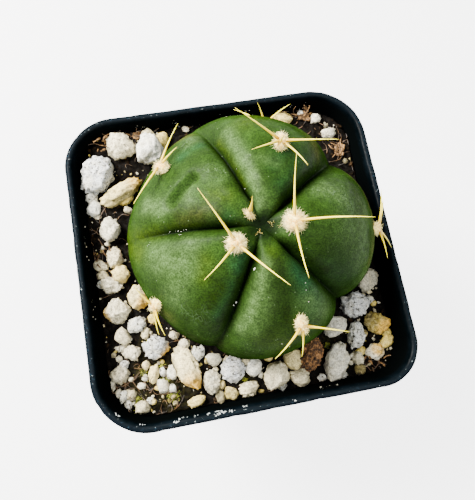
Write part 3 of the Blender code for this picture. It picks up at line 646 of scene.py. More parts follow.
def pot_finish():
    made = Finish("pot_black_moulded")
    made.gloss(0.025, 0.03, 0.3)
    made.base(made.spots(3.5, 0.35, detail=4, rough=0.6), (1, 3, 4), (4, 8, 11))
    # Painted sheen: the edge value lightens the lip's top to blue-grey, and its brighter streaks are painted
    # highlights. The dust and pale flecks that follow are real.
    made.tint("edge", 6, 11, 15)
    made.tint(made.times(made.spots(0.55, 0.59, detail=4, rough=0.75), "edge"), 26, 42, 52)
    made.tint(made.times(made.spots(0.42, 0.68, 0.78, rough=0.7), "dust"), 40, 42, 40)
    made.tint(made.times(made.spots(0.42, 0.7, 0.72, detail=2), "edge"), 120, 128, 126)
    # Painted shade: the inner wall below the rim is darkened to near black.
    made.tint("inside", 2, 3, 3)
    worn = made.spots(1.2, start=0.34, end=0.52, detail=4, rough=0.6)
    return made.done(worn, (made.noise(1.4), 0.04), (made.noise(0.3, 2), 0.012))


def lime_finish():
    made = Finish("lime_chalk", Specular_IOR_Level=0.1)
    made.base(made.spots(0.3), (96, 100, 98), (190, 194, 190))
    return made.done(made.spots(0.5, start=0.8, end=0.95), (made.noise(0.15, 2), 0.04))


def floor_finish():
    made = Finish("studio_floor", Roughness=0.9, Emission_Strength=4.2, Emission_Color=(1, 1, 1, 1))
    pale = made.mix(made.spots(6, detail=2), (0.3, 0.3, 0.3, 1), (0.31, 0.31, 0.31, 1))
    made.set("Base Color", pale)
    return made.material


# Mesh building


def link(name, data):
    made = bpy.data.objects.new(name, data)
    bpy.context.scene.collection.objects.link(made)
    return made


def mesh_from(bm, name):
    mesh = bpy.data.meshes.new(name)
    bm.to_mesh(mesh)
    bm.free()
    return mesh


def store(mesh, values):
    """Gives the mesh named values, one for each of its points."""
    for key, stored in values.items():
        layer = mesh.attributes.new(key, "FLOAT", "POINT")
        layer.data.foreach_set("value", np.asarray(stored, np.float32))


def finish_piece(name, mesh, finish, replaces=None, smooth=True):
    mesh.materials.append(finish)
    if smooth:
        mesh.shade_smooth()
    made = link(name, mesh)
    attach(made, "root")
    if replaces:
        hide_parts(replaces)


class Shape:
    """Points, faces and named values of the points, gathered before they become one mesh."""

    def __init__(self, *keys):
        self.points = []
        self.faces = []
        self.values = {key: [] for key in keys}

    def add(self, points, faces, **values):
        first = len(self.points)
        self.points.extend(points)
        self.faces.extend(tuple(first + index for index in face) for face in faces)
        for key, stored in self.values.items():
            value = values.get(key, 0.0)
            stored.extend(value if hasattr(value, "__len__") else [value] * len(points))

    def piece(self, name, finish, replaces=None, smooth=True):
        mesh = bpy.data.meshes.new(name)
        mesh.from_pydata([tuple(point) for point in self.points], [], self.faces)
        store(mesh, self.values)
        finish_piece(name, mesh, finish, replaces, smooth)


def band(low, high):
    """Faces between two closed rows, each given as the numbers of its points."""
    ends = [*range(1, len(low)), 0]
    return [(low[here], low[after], high[after], high[here]) for here, after in enumerate(ends)]


def bands(rows):
    return [face for low, high in zip(rows, rows[1:]) for face in band(low, high)]


def flipped(faces):
    return [(a, d, c, b) for a, b, c, d in faces]


def rows_of(count, width, first=0):
    return [range(first + row * width, first + (row + 1) * width) for row in range(count)]


def shut_tube(count, width):
    """Faces of a closed tube of so many rows of points, with a face over each end."""
    rows = rows_of(count, width)
    return [*bands(rows), tuple(reversed(rows[0])), tuple(rows[-1])]


def tube(spine, radii, sides, twist=0.0):
    """Points and faces of a closed tube along a line of points."""
    points = []
    side = Vector((0.3, 0.5, 0.81)).cross(spine[1] - spine[0]).normalized()
    for index, (centre, radius) in enumerate(zip(spine, radii)):
        ahead = spine[min(index + 1, len(spine) - 1)] - spine[max(index - 1, 0)]
        ahead.normalize()
        side = (side - ahead * side.dot(ahead)).normalized()
        other = ahead.cross(side)
        for step in range(sides):
            angle = step / sides * math.tau + twist * index
            points.append(centre + (side * math.cos(angle) + other * math.sin(angle)) * radius)
    return points, shut_tube(len(spine), sides)


def ball(subdivisions):
    """Directions and faces of a unit icosphere."""
    bm = bmesh.new()
    bmesh.ops.create_icosphere(bm, subdivisions=subdivisions, radius=1)
    directions = [vert.co.copy() for vert in bm.verts]
    faces = [tuple(vert.index for vert in face.verts) for face in bm.faces]
    bm.free()
    return directions, faces


BALLS = {level: ball(level) for level in (1, 2, 3, 4, 5)}


def add_crumb(shape, level, centre, stretch, size, **values):
    """A tiny stretched ball. The level says how finely it is divided."""
    directions, faces = BALLS[level]
    shape.add([centre + spot * stretch * size for spot in directions], faces, **values)


# Pot


def wall_half(z):
    base = POT_BASE_WIDTH / 2 - WALL
    top = POT_WIDTH / 2 - LIP_WIDTH
    return base + (top - base) * z / POT_HEIGHT


def wall_corner(z, quarter):
    """How round the wall is at a height, in one of the four corners."""
    return BASE_CORNER + (LIP_CORNERS[quarter] - LIP_WIDTH - BASE_CORNER) * z / POT_HEIGHT


def quarter_of(x, y):
    """The corner that a place lies towards, counted anticlockwise from the back right."""
    return (0 if y >= 0 else 3) if x >= 0 else (1 if y >= 0 else 2)


def outline(half, corners, z, wave=0.0):
    """A rounded square, anticlockwise from above, drawn in a little here and there by wave."""
    points = []
    for quarter in range(4):
        turned = Matrix.Rotation(quarter * math.pi / 2, 3, "Z")
        start, end = corners[quarter - 1] - half, half - corners[quarter]
        for step in range(SIDE_STEPS):
            points.append(turned @ Vector((half, start + (end - start) * step / SIDE_STEPS, z)))
        for step in range(CORNER_STEPS):
            angle = step / CORNER_STEPS * math.pi / 2
            arc = Vector((math.cos(angle), math.sin(angle), 0)) * corners[quarter]
            points.append(turned @ (Vector((end, end, z)) + arc))
    return [drawn_in(point, wave) for point in points] if wave else points


def drawn_in(point, wave):
    """The point moved inwards a little, by more in some places than in others."""
    pull = 0.5 + 0.5 * noise(Vector((point.x, point.y, 0)) / (7 * MM))
    nick = max(noise(Vector((point.x, point.y, point.z * 0.4)) / (1.7 * MM)) - 0.1, 0)
    return point + Vector((-point.x, -point.y, 0)).normalized() * wave * (pull + nick)


def lip_row(inset, z):
    return POT_WIDTH / 2 - inset, [corner - inset for corner in LIP_CORNERS], z, LIP_WAVE


def wall_row(z, out=0.0, wave=0.0, height=None):
    """A row of the wall, or of the foot, moved outwards."""
    corners = [wall_corner(z, quarter) + out for quarter in range(4)]
    return wall_half(z) + out, corners, z if height is None else height, wave


def wall_gap(x, y, z):
    """How far outside the wall's inner face a place is."""
    corner = wall_corner(z, quarter_of(x, y))
    straight = wall_half(z) - corner
    return math.hypot(max(abs(x) - straight, 0), max(abs(y) - straight, 0)) - corner


def pot_sections():
    """Rounded squares up the outside of the pot, over its lip and down the inside."""
    skirt = POT_HEIGHT - LIP_DROP
    foot = WALL - FOOT_WIDTH
    radius = LIP_WIDTH / 2
    rows = [wall_row(0, foot, height=FLOOR_LIFT), wall_row(0, foot, height=FOOT_BEVEL)]
    rows += [wall_row(0, foot + FOOT_BEVEL), wall_row(0, WALL - BASE_BEVEL)]
    rows.append(wall_row(0, WALL, height=BASE_BEVEL))
    rows += [wall_row(skirt * share, WALL) for share in SKIRT_LEVELS]
    for inset, rise in LIP_FACE:
        rows.append(lip_row(inset * MM, skirt + rise * MM))
    for step in range(LIP_STEPS + 1):
        angle = step / LIP_STEPS * math.pi
        rows.append(lip_row(radius * (1 - math.cos(angle)), POT_HEIGHT - radius + radius * math.sin(angle)))
    for drop in INNER_DROPS:
        rows.append(wall_row(POT_HEIGHT - drop * MM, wave=LIP_WAVE if drop < 3 else 0))
    rows.append(wall_row(FLOOR_LIFT + FLOOR_THICKNESS))
    return [outline(*row) for row in rows]


def make_pot(finish):
    sections = pot_sections()
    mesh = bpy.data.meshes.new("pot_tub")
    points = [tuple(point) for row in sections for point in row]
    mesh.from_pydata(points, [], shut_tube(len(sections), len(sections[0])))
    mesh = cut_drainage(mesh)
    places = np.empty(len(mesh.vertices) * 3)
    mesh.vertices.foreach_get("co", places)
    places = places.reshape(-1, 3)
    gaps = np.array([wall_gap(*place) for place in places])
    drops = POT_HEIGHT - places[:, 2]
    high = smooth_step(-drops, -2.2 * MM, -0.2 * MM)
    # The edge value marks the lip's top for its painted sheen and highlights, and for its pale flecks.
    edge = high * smooth_step(gaps, 0.1 * MM, 0.9 * MM)
    dust = 0.3 + 0.7 * smooth_step(-drops, -14 * MM, -6 * MM)
    # Painted shade: the inside value darkens the inner wall below the rim.
    inside = (1 - smooth_step(gaps, 0.1 * MM, 0.6 * MM)) * smooth_step(drops, 0.5 * MM, 2 * MM)
    store(mesh, {"edge": edge, "dust": dust, "inside": inside})
    finish_piece("pot_tub", mesh, finish, "pot")
    mesh.set_sharp_from_angle(angle=math.radians(50))


def cut_drainage(mesh):
    """Five round holes through the floor, and a notch in the foot ring on each side."""
    tools = bpy.data.collections.new("pot_cutters")
    bpy.context.scene.collection.children.link(tools)

    def add_tool(bm):
        tools.objects.link(bpy.data.objects.new("cutter", mesh_from(bm, "cutter")))

    ends = {"radius1": DRAIN_RADIUS, "radius2": DRAIN_RADIUS, "depth": 4 * FLOOR_LIFT}
    for x, y in ((0, 0), (1, 1), (-1, 1), (-1, -1), (1, -1)):
        at = Matrix.Translation((x * DRAIN_OFFSET, y * DRAIN_OFFSET, FLOOR_LIFT))
        bm = bmesh.new()
        bmesh.ops.create_cone(bm, cap_ends=True, segments=DRAIN_SIDES, matrix=at, **ends)
        add_tool(bm)
    for turn in range(4):
        at = spun(90 * turn) @ Matrix.Translation((POT_BASE_WIDTH / 2 - FOOT_WIDTH / 2, 0, 0))
        size = Matrix.Diagonal((FOOT_WIDTH * 2, NOTCH_WIDTH, FLOOR_LIFT, 1))
        bm = bmesh.new()
        bmesh.ops.create_cube(bm, size=1, matrix=at @ size)
        add_tool(bm)
    blank = link("pot_blank", mesh)
    modifier = blank.modifiers.new("Drainage", "BOOLEAN")
    modifier.operand_type = "COLLECTION"
    modifier.collection = tools
    graph = bpy.context.evaluated_depsgraph_get()
    result = bpy.data.meshes.new_from_object(blank.evaluated_get(graph))
    for item in [blank, *tools.objects]:
        bpy.data.objects.remove(item)
    bpy.data.collections.remove(tools)
    result.materials.clear()
    return result


def lip_frame(x, y):
    """Places +Z straight out of the rounded lip and +X along it, beside a given place."""
    corner, radius = LIP_CORNERS[quarter_of(x, y)], LIP_WIDTH / 2
    straight = POT_WIDTH / 2 - corner
    hub = Vector((math.copysign(min(abs(x), straight), x), math.copysign(min(abs(y), straight), y), 0))
    if abs(y) > abs(x) and abs(x) < straight:
        outward = Vector((0, math.copysign(1, y), 0))
    else:
        outward = (Vector((x, y, 0)) - hub).normalized()
    inset = clamp(corner - (Vector((x, y, 0)) - hub).length, 0.3 * radius, 1.96 * radius)
    angle = math.acos(1 - inset / radius)
    out = outward * math.cos(angle) + Vector((0, 0, math.sin(angle)))
    spot = hub + outward * (corner - radius) + out * radius
    spot = drawn_in(spot + Vector((0, 0, POT_HEIGHT - radius)), LIP_WAVE)
    aside = Vector((0, 0, 1)).cross(outward)
    return placed(spot, aside, out.cross(aside), out)


def make_lime(finish):
    """Thin crusts of lime, each a scatter of ragged flakes that lie on the lip."""
    rng = random.Random(271)
    shape = Shape()
    sides = band(*rows_of(2, FLAKE_SIDES, 2))
    faces = [face for a, b, c, d in sides for face in ((0, b, a), (a, b, c, d), (1, d, c))]
    for x, y, along, over, count in LIME_CRUSTS:
        for _ in range(count):
            at = lip_frame((x + rng.gauss(0, 0.6) * along) * MM, (y + rng.gauss(0, 0.6) * over) * MM)
            at = at @ Matrix.Rotation(rng.uniform(0, math.tau), 4, "Z")
            size = rng.uniform(0.08, 0.24) * MM
            long, wide = size * rng.uniform(1, 2.4), size * rng.uniform(0.35, 0.7)
            reach = [rng.uniform(0.6, 1.15) for _ in range(FLAKE_SIDES)]
            points = [at @ Vector((0, 0, -0.05 * MM)), at @ Vector((0, 0, 0.09 * MM))]
            for level, share in ((-0.04, 1), (0.05, 0.86)):
                for step in range(FLAKE_SIDES):
                    angle = step / FLAKE_SIDES * math.tau
                    flat = Vector((long * math.cos(angle), wide * math.sin(angle), 0)) * reach[step] * share
                    points.append(at @ (flat + Vector((0, 0, level * MM))))
            shape.add(points, faces)
    shape.piece("lime_crust", finish, smooth=False)


# Cactus body


def lean_matrix():
    axis = Vector((math.sin(BODY_LEAN_X), math.sin(BODY_LEAN_Y), 1)).normalized()
    right = (Vector((1, 0, 0)) - axis * axis.x).normalized()
    return placed(BODY_CENTRE, right, axis.cross(right), axis)


LEAN = lean_matrix()


def groove_azimuth(index, polar):
    whole_turns, rib = divmod(index, len(GROOVE_AZIMUTHS))
    degrees = GROOVE_AZIMUTHS[rib] + GROOVE_TWISTS[rib] * (polar - TWIST_LEVEL)
    return math.radians(degrees + 360 * whole_turns)


def groove_fade(rib, share):
    """How much the groove on the nearer side of a rib fades."""
    return GROOVE_FADES[rib if share < 0.5 else (rib + 1) % len(GROOVE_FADES)]


def meridian(polar):
    radius = BODY_RADIUS * math.sin(polar) ** BODY_ROUNDNESS
    half_height = BODY_RISE if polar < math.pi / 2 else BODY_DROP
    pit = CROWN_PIT * math.exp(-((radius / CROWN_PIT_RADIUS) ** 2))
    return radius, half_height * math.cos(polar) - pit


def rib_relief(polar, rib, share):
    across = abs(2 * share - 1)
    opening = smooth_step(polar, 0, 0.3)
    fading = 1 - groove_fade(rib, share) * smooth_step(polar, 0.8, 1.8)
    lift = RIB_SWELLS[rib] * (1 - across**2) * smooth_step(polar, 0, 0.5)
    lift -= GROOVE_DEPTH * opening * fading * across**GROOVE_SHARPNESS
    for areole in AREOLE_ANGLES[rib]:
        chin = math.exp(-(((polar - areole - CHIN_DROP) / CHIN_LENGTH) ** 2))
        lift += CHIN_HEIGHT * chin * (1 - across) * smooth_step(polar, 0.1, 0.6)
    return float(lift)


def body_point(polar, rib, share, grow=0.0, crease=0.0):
    """A point of the skin. The crease draws the groove's bottom in more sharply."""
    radius, height = meridian(polar)
    lift = rib_relief(polar, rib, share) + grow
    if crease:
        fold = math.exp(-(((1 - abs(2 * share - 1)) / CREASE_WIDTH) ** 1.2))
        fold *= smooth_step(polar, 0.04, 0.3) * (1 - 0.8 * smooth_step(polar, 0.7, 1.5))
        lift -= crease * float(fold)
    start = groove_azimuth(rib, polar)
    azimuth = start + share * (groove_azimuth(rib + 1, polar) - start)
    reach = max(radius + lift * math.sin(polar), 0)
    height += lift * math.cos(polar)
    return LEAN @ Vector((reach * math.cos(azimuth), reach * math.sin(azimuth), height))


def creased_point(polar, rib, share, grow=0.0):
    return body_point(polar, rib, share, grow, CREASE_DEPTH)


def root_point(share_down, rib, share):
    neck = LEAN.inverted() @ body_point(NECK_ANGLE, rib, share)
    spoke = Vector((neck.x, neck.y, 0))
    reach = ROOT_TIP_RADIUS + (spoke.length - ROOT_TIP_RADIUS) * (1 - share_down) ** 2
    blunt = 1 - share_down**8
    return LEAN @ (spoke.normalized() * reach * blunt + Vector((0, 0, neck.z - ROOT_LENGTH * share_down)))


def stroke_place(stroke, part):
    """The angle from the crown, the rib and the share across it, part of the way along."""
    polar_a, share_a, polar_b, share_b = [hundredths / 100 for hundredths in stroke[1:5]]
    polar = polar_a + (polar_b - polar_a) * part
    return polar, RIB_NAMES.index(stroke[0]), share_a + (share_b - share_a) * part


def spread(places, strokes):
    """How strongly each place is marked by the strokes near it."""
    total = np.zeros(len(places))
    for stroke in strokes:
        reach, strength = stroke[5] * MM, stroke[6]
        parts = [step / STROKE_STEPS for step in range(STROKE_STEPS + 1)]
        spots = [creased_point(*stroke_place(stroke, part)) for part in parts]
        gaps = np.min([np.linalg.norm(places - np.array(spot), axis=1) for spot in spots], axis=0)
        total = np.maximum(total, strength * np.exp(-((gaps / reach) ** 2)))
    return total


def uneven_share(step):
    """Columns lie closer together beside the grooves."""
    even = step / SKIN_COLUMNS
    return 0.35 * even + 0.65 * (0.5 - 0.5 * math.cos(math.pi * even))


def wobble(place):
    """How far the skin lies off its formula at a place, in millimetres."""
    return 0.16 * noise(place / (6 * MM)) + 0.05 * noise(place / (1.7 * MM))


def shut_ball(rows, width):
    """Faces of a closed shape: one point, so many rows of points, then a last point."""
    sides = bands(rows_of(rows, width, 1))
    top = [(0, a, b) for a, b, _, _ in sides[:width]]
    return top + flipped(sides) + [(d, 1 + rows * width, c) for _, _, c, d in sides[-width:]]


def make_skin(finish):
    columns = [(rib, uneven_share(step)) for rib in range(len(RIB_NAMES)) for step in range(SKIN_COLUMNS)]
    points = [body_point(0, 0, 0.5)]
    polars = [0.0]
    for ring in range(1, SKIN_RINGS + 1):
        polars.append(NECK_ANGLE * ring / SKIN_RINGS)
        points += [creased_point(polars[-1], rib, share) for rib, share in columns]
    for ring in range(1, ROOT_RINGS):
        polars.append(NECK_ANGLE)
        points += [root_point(ring / ROOT_RINGS, rib, share) for rib, share in columns]
    points.append(root_point(1, 0, 0.5))
    rows = len(polars) - 1
    polars = np.array([0.0, *np.repeat(polars[1:], len(columns)), NECK_ANGLE])
    across = np.array([1.0, *[abs(2 * share - 1) for _, share in columns] * rows, 0.0])
    fades = np.array([0.0, *[1.15 * groove_fade(rib, share) for rib, share in columns] * rows, 0.0])

    places = np.array(points)
    outward = places - np.array(BODY_CENTRE - Vector((0, 0, SWELL_DROP)))
    outward /= np.linalg.norm(outward, axis=1)[:, None]
    wobbles = np.array([wobble(place) for place in points])
    lift = -spread(places, DENTS) * MM + wobbles * MM * smooth_step(polars, 0, 0.2)
    places = places + outward * lift[:, None]

    # The crease value darkens the skin in the grooves and the crown as painted shade, fading where the
    # grooves fade.
    shut = 1 - fades * smooth_step(polars, 0.75, 1.3)
    crease = np.exp(-((1 - across) / (0.07 + 0.3 * (1 - smooth_step(polars, 0.06, 0.34))))) * shut
    crease *= smooth_step(polars, 0.02, 0.2)
    crease = np.maximum(crease, 0.9 * (1 - smooth_step(polars, 0.03, 0.16)))
    marks = {mark: spread(places, strokes) for mark, strokes in MARKS.items()}
    shape = Shape("crease", *marks)
    shape.add(list(places), shut_ball(rows, len(columns)), crease=crease, **marks)
    shape.piece("cactus_skin_fine", finish, "cactus_body")


def make_flecks(finish):
    """Chalky crumbs that lie on the skin and in its grooves."""
    rng = random.Random(31)
    directions, faces = BALLS[2]
    shape = Shape(*STONE_VALUES)
    for *stroke, count, size in FLECKS:
        for _ in range(count):
            polar, rib, share = stroke_place(stroke, rng.random())
            polar, share = polar + rng.uniform(-0.015, 0.015), share + rng.uniform(-0.01, 0.01)
            centre = creased_point(polar, rib, share)
            out = (creased_point(polar, rib, share, MM) - centre).normalized()
            radius = size * rng.uniform(0.6, 1.1) / 2 * MM
            long = scattered(rng)
            long = (long - out * long.dot(out)).normalized()
            wide = out.cross(long)
            points = []
            for spot in directions:
                rough = 1 + 0.35 * noise(spot * 1.7 + centre / MM)
                flat = long * spot.x * 1.2 + wide * spot.y * 0.8 + out * spot.z * 0.45
                points.append(centre + flat * radius * rough)
            shape.add(points, faces, yellow=0.05, grey=0.05)
    shape.piece("chalk_flecks", finish)


# Areoles


def areole_frame(rib, polar, share):
    """Places +Z straight out of the skin and +X down the rib, with the origin on the skin."""
    step = AREOLE_STEP
    down = (body_point(polar + step, rib, share) - body_point(polar - step, rib, share)).normalized()
    over = body_point(polar, rib, share + step) - body_point(polar, rib, share - step)
    out = down.cross(over).normalized()
    return placed(body_point(polar, rib, share), down, out.cross(down), out)


def add_hair(shape, rng, root, ahead, length, radius, tint, gold=0.0):
    """One fine tapering hair, bent at its middle."""
    middle = root + ahead * length * 0.55 + scattered(rng) * length * 0.12
    tip = root + ahead * length + scattered(rng) * length * 0.3
    side = ahead.orthogonal().normalized()
    other = ahead.cross(side)
    points = []
    for centre, size in ((root, 1), (middle, 0.8)):
        for step in range(3):
            angle = step * math.tau / 3
            points.append(centre + (side * math.cos(angle) + other * math.sin(angle)) * radius * size)
    faces = [(2, 1, 0), (0, 1, 4, 3), (1, 2, 5, 4), (2, 0, 3, 5), (3, 4, 6), (4, 5, 6), (5, 3, 6)]
    tips = [tint * 0.4] * 3 + [tint * 0.8] * 3 + [1.0]
    shape.add([*points, tip], faces, tip=tips, gold=gold)


def make_tuft(place, frame_at, finish, seed):
    """A felted pad of wool with fine hairs standing out of it."""
    length, width, height, hairs = TUFTS[place]
    gold = 0.45 if place == "a_young" else 0.0
    rng = random.Random(seed)
    reach = Vector((length / 2 * MM, width / 2 * MM, height * MM))
    shape = Shape("tip", "core", "gold")
    directions, faces = BALLS[4]
    points, tips, cores = [], [], []
    for spot in directions:
        clump = noise(spot * 2.6 + Vector((seed, 0, 0)))
        tangle = noise(spot * 8 + Vector((0, seed, 0)))
        swell = 1 + 0.3 * clump + 0.22 * abs(tangle)
        points.append(frame_at @ (spot * reach * swell * 0.8))
        tips.append(clamp(0.5 + 1.2 * tangle))
        cores.append(float(smooth_step(spot.z + 0.9 * clump + 0.5 * tangle, 0.3, 0.9)))
    shape.add(points, faces, tip=tips, core=cores, gold=gold)
    turned = frame_at.to_3x3()
    for _ in range(hairs):
        angle = rng.uniform(0, math.tau)
        rise = rng.uniform(-0.05, 1) if rng.random() < 0.6 else rng.uniform(-0.05, 0.3)
        flat = math.sqrt(max(0.0, 1 - rise * rise))
        spot = Vector((math.cos(angle) * flat, math.sin(angle) * flat, rise))
        lean = Vector((spot.x, spot.y, spot.z * 0.8 + 0.15)) + scattered(rng, 0.8)
        ahead = (turned @ lean).normalized()
        size = (0.35 + 1.15 * rng.random() ** 1.8) * MM * (0.35 + 0.28 * height)
        radius = HAIR_RADIUS * rng.uniform(0.7, 1.3)
        tint = rng.uniform(0.4, 1)
        add_hair(shape, rng, frame_at @ (spot * reach * 0.78), ahead, size, radius, tint, gold)
    shape.piece(f"wool_tuft_{place}", finish, f"wool_{place}")


def make_needles(place, frame_at, finish, seed):
    """The spines of one areole: each comes out at the wool's edge and ends in a point."""
    rng = random.Random(seed)
    gold = 0.7 if place == "a_young" else 0.0
    shape = Shape("along", "gold")
    for turn, lift, length in SPINES[place]:
        turned = spun(turn)
        at = frame_at @ Matrix.Translation((0, 0, HUB_HEIGHT - SPINE_RADIUS)) @ turned @ spun(-lift, "Y")
        start = frame_at @ turned @ Vector((SPINE_START, 0, SPINE_ROOT_HEIGHT))
        end = at @ Vector((length * MM, 0, 0))
        out = (at.to_3x3() @ Vector((0, 0, 1))).normalized()
        aside = (at.to_3x3() @ Vector((0, 1, 0))).normalized()
        sway = rng.uniform(-0.025, 0.025)
        reach = (end - start).length
        root = SPINE_ROOT * (0.72 + 0.28 * min(length / 10, 1.15)) * (1.5 if gold else 1)
        line, radii, along = [], [], []
        for step in range(SPINE_STEPS + 1):
            part = step / SPINE_STEPS
            bend = 4 * part * (1 - part) * reach
            line.append(start.lerp(end, part) + out * bend * SPINE_RISE + aside * bend * sway)
            bulb = 0.3 * math.exp(-((part * length / 1.2) ** 2))
            radii.append(root * (1 - 0.9 * part**1.1 + bulb))
            along += [part] * SPINE_SIDES
        shape.add(*tube(line, radii, SPINE_SIDES), along=along, gold=gold)
    shape.piece(f"needles_{place}", finish, f"spines_{place}")


def make_areoles(wool, straw):
    seed = 100
    for rib, angles in enumerate(AREOLE_ANGLES):
        for age, polar, share in zip(("young", "old"), angles, AREOLE_SHARES[rib]):
            place = f"{RIB_NAMES[rib].lower()}_{age}"
            frame_at = areole_frame(rib, polar, share)
            make_tuft(place, frame_at, wool, seed)
            make_needles(place, frame_at, straw, seed + 50)
            seed += 1


def make_crown_wool(finish):
    """Faint wisps of young wool in the middle of the crown."""
    rng = random.Random(77)
    shape = Shape("tip", "core", "gold")
    for letter, polar, share, reach, count in CROWN_WISPS:
        centre = body_point(polar, RIB_NAMES.index(letter), share)
        for _ in range(count):
            away = scattered(rng) * reach * 0.45 * MM
            away.z = abs(away.z) * 0.5
            ahead = Vector((rng.uniform(-1, 1), rng.uniform(-1, 1), rng.uniform(0.15, 0.8))).normalized()
            size = rng.uniform(0.3, 0.7) * MM
            add_hair(shape, rng, centre + away, ahead, size, HAIR_RADIUS * 0.5, rng.uniform(0.1, 0.4))
    shape.piece("crown_wisps", finish)


# Potting mix and what lies on it


def soil_height(x, y):
    back = clamp((y - SOIL_BACK_START) / SOIL_BACK_RUN)
    left = clamp(-x / SOIL_LEFT_RUN)
    return POT_HEIGHT - SOIL_DROP + SOIL_BACK_RISE * back**1.3 + SOIL_LEFT_RISE * left


def rounded_place(u, v, half, level):
    """Maps the square from -1 to 1 onto the pot's inside at a level, ring by ring."""
    corner = wall_corner(level, quarter_of(u, v)) - SOIL_GAP
    ring = max(abs(u), abs(v))
    if ring < 1e-9:
        return 0.0, 0.0
    x, y = u / ring * half, v / ring * half
    straight = half - corner
    if abs(x) > straight and abs(y) > straight:
        if abs(x) >= abs(y):
            run = (abs(y) - straight) / corner / 2
        else:
            run = 1 - (abs(x) - straight) / corner / 2
        angle = run * math.pi / 2
        x = math.copysign(straight + corner * math.cos(angle), x)
        y = math.copysign(straight + corner * math.sin(angle), y)
    return x * ring, y * ring


def soil_level(x, y):
    level = soil_height(x, y)
    for size, depth in SOIL_LUMPS:
        level += depth * MM * noise(Vector((x, y, 0)) / (size * MM) + Vector((3, 7, size)))
    return level


def mossiness(point):
    """How green the mix is at a place, from 0 to 1."""
    gaps = [math.hypot(point.x / MM - x, point.y / MM - y) / (2.4 * size) for x, y, size in MOSS_PATCHES]
    return max(math.exp(-(gap**2)) for gap in gaps)


def make_soil(finish):
    top = POT_HEIGHT - SOIL_DROP
    half = wall_half(top) - SOIL_GAP
    points = []
    for row in range(SOIL_GRID + 1):
        for column in range(SOIL_GRID + 1):
            x, y = rounded_place(2 * column / SOIL_GRID - 1, 2 * row / SOIL_GRID - 1, half, top)
            points.append(Vector((x, y, soil_level(x, y))))
    side, last = SOIL_GRID + 1, SOIL_GRID
    corners = [row * side + column for row in range(last) for column in range(last)]
    faces = [(here, here + 1, here + side + 1, here + side) for here in corners]
    rim = [*range(side), *(row * side + last for row in range(1, side))]
    rim += [last * side + column for column in range(last - 1, -1, -1)]
    rim += [row * side for row in range(last - 1, 0, -1)]
    above = rim
    for level in (*SOIL_LEVELS, FLOOR_LIFT + FLOOR_THICKNESS + SOIL_GAP):
        scale = (wall_half(level) - SOIL_GAP) / half
        below = range(len(points), len(points) + len(rim))
        points += [Vector((points[index].x * scale, points[index].y * scale, level)) for index in rim]
        faces += flipped(band(above, below))
        above = below
    faces.append(tuple(reversed(above)))
    shape = Shape("moss")
    shape.add(points, faces, moss=[mossiness(point) for point in points])
    shape.piece("potting_mix_fine", finish, "soil")


def stone_matrix(x, y, length, width, height, turn, lift):
    level = soil_height(x * MM, y * MM) + lift * MM
    size = Matrix.Diagonal((length / 2 * MM, width / 2 * MM, height / 2 * MM, 1))
    return Matrix.Translation((x * MM, y * MM, level)) @ spun(turn) @ size


def chipped(rng, count, low, high=0.9):
    """Random flat cuts, as a direction and a distance from the middle."""
    cuts = []
    for _ in range(count):
        facing = Vector([rng.gauss(0, 1) for _ in range(3)]).normalized()
        cuts.append((facing, rng.uniform(low, high)))
    return cuts


def stone_radius(spot, offset, cuts, lumps, pits, fine):
    """How far the stone's skin is from its middle in a direction, and how deep in a pit it is."""
    radius = 1 - STONE_LUMPS * abs(noise(spot * 1.1 + offset))
    radius += 1.2 * lumps * noise(spot * 2.3 + offset)
    for facing, distance in cuts:
        along = spot.dot(facing)
        if along > 0.3 and radius * along > distance:
            radius += 0.85 * (distance / along - radius)
    knob, knot = abs(noise(spot * 3.4 + offset)), abs(noise(spot * 7 - offset))
    radius += lumps * (1.7 * knob + 0.8 * knot - 0.35)
    hollow = 3 * lumps * max(1 - knob / 0.07, 0.6 - knot / 0.1, 0)
    if fine:
        radius += 0.035 * noise(spot * 14 + offset)
        gaps, _ = voronoi(spot * 4.2 + offset)
        size = 0.16 + 0.2 * noise(spot * 2 - offset)
        hole = float(smooth_step(size - gaps[0], 0, 0.16)) * min(pits, 1)
        radius -= 0.07 * hole * pits
        hollow = max(hollow, hole)
    return radius, hollow


def add_stone(shape, kind, matrix, rng, offset, level, stain=(0, 0, 0)):
    flat, lumps, pits, grey, yellow = KINDS[kind]
    cuts = chipped(rng, flat, 0.5 if level < 4 else 0.58)
    stain_way = Vector(stain).normalized()
    directions, faces = BALLS[level]
    points, pit_and_underside_shade, stains = [], [], []
    for spot in directions:
        radius, hollow = stone_radius(spot, offset, cuts, lumps, pits, level > 2)
        points.append(matrix @ (spot * radius * STONE_SCALE))
        # Painted shade in the pits and crevices and on the lower side, which turns under towards the mix.
        pit_and_underside_shade.append(min(0.9, hollow * 0.8 + 0.5 * float(smooth_step(0.3 - spot.z, 0, 0.7))))
        stains.append(float(smooth_step(spot.dot(stain_way), 0.25, 0.95)))
    shape.add(
        points,
        faces,
        yellow=clamp(yellow * rng.uniform(0.6, 1.2)),
        grey=clamp(grey * rng.uniform(0.7, 1.2)),
        pit=pit_and_underside_shade,
        stain=stains,
        specks=min(1.0, pits),
    )


def make_stones(pale, grey, rust):
    for number, (name, (look, *place)) in enumerate(STONES.items()):
        matrix = stone_matrix(*place)
        offset = scattered(random.Random(STONE_SEED + number), 40)
        if look == "scoria":
            make_scoria(matrix, offset, rust)
            continue
        shape = Shape(*STONE_VALUES)
        stain = STAINS.get(name, (0, 0, 0))
        add_stone(shape, look, matrix, random.Random(400 + number), offset, 4, stain)
        finish, slot = (grey, "pumice_grey") if name in GREY_STONES else (pale, "pumice_pale")
        shape.piece(f"pumice_{name}_fine", finish, f"pumice_{name}")


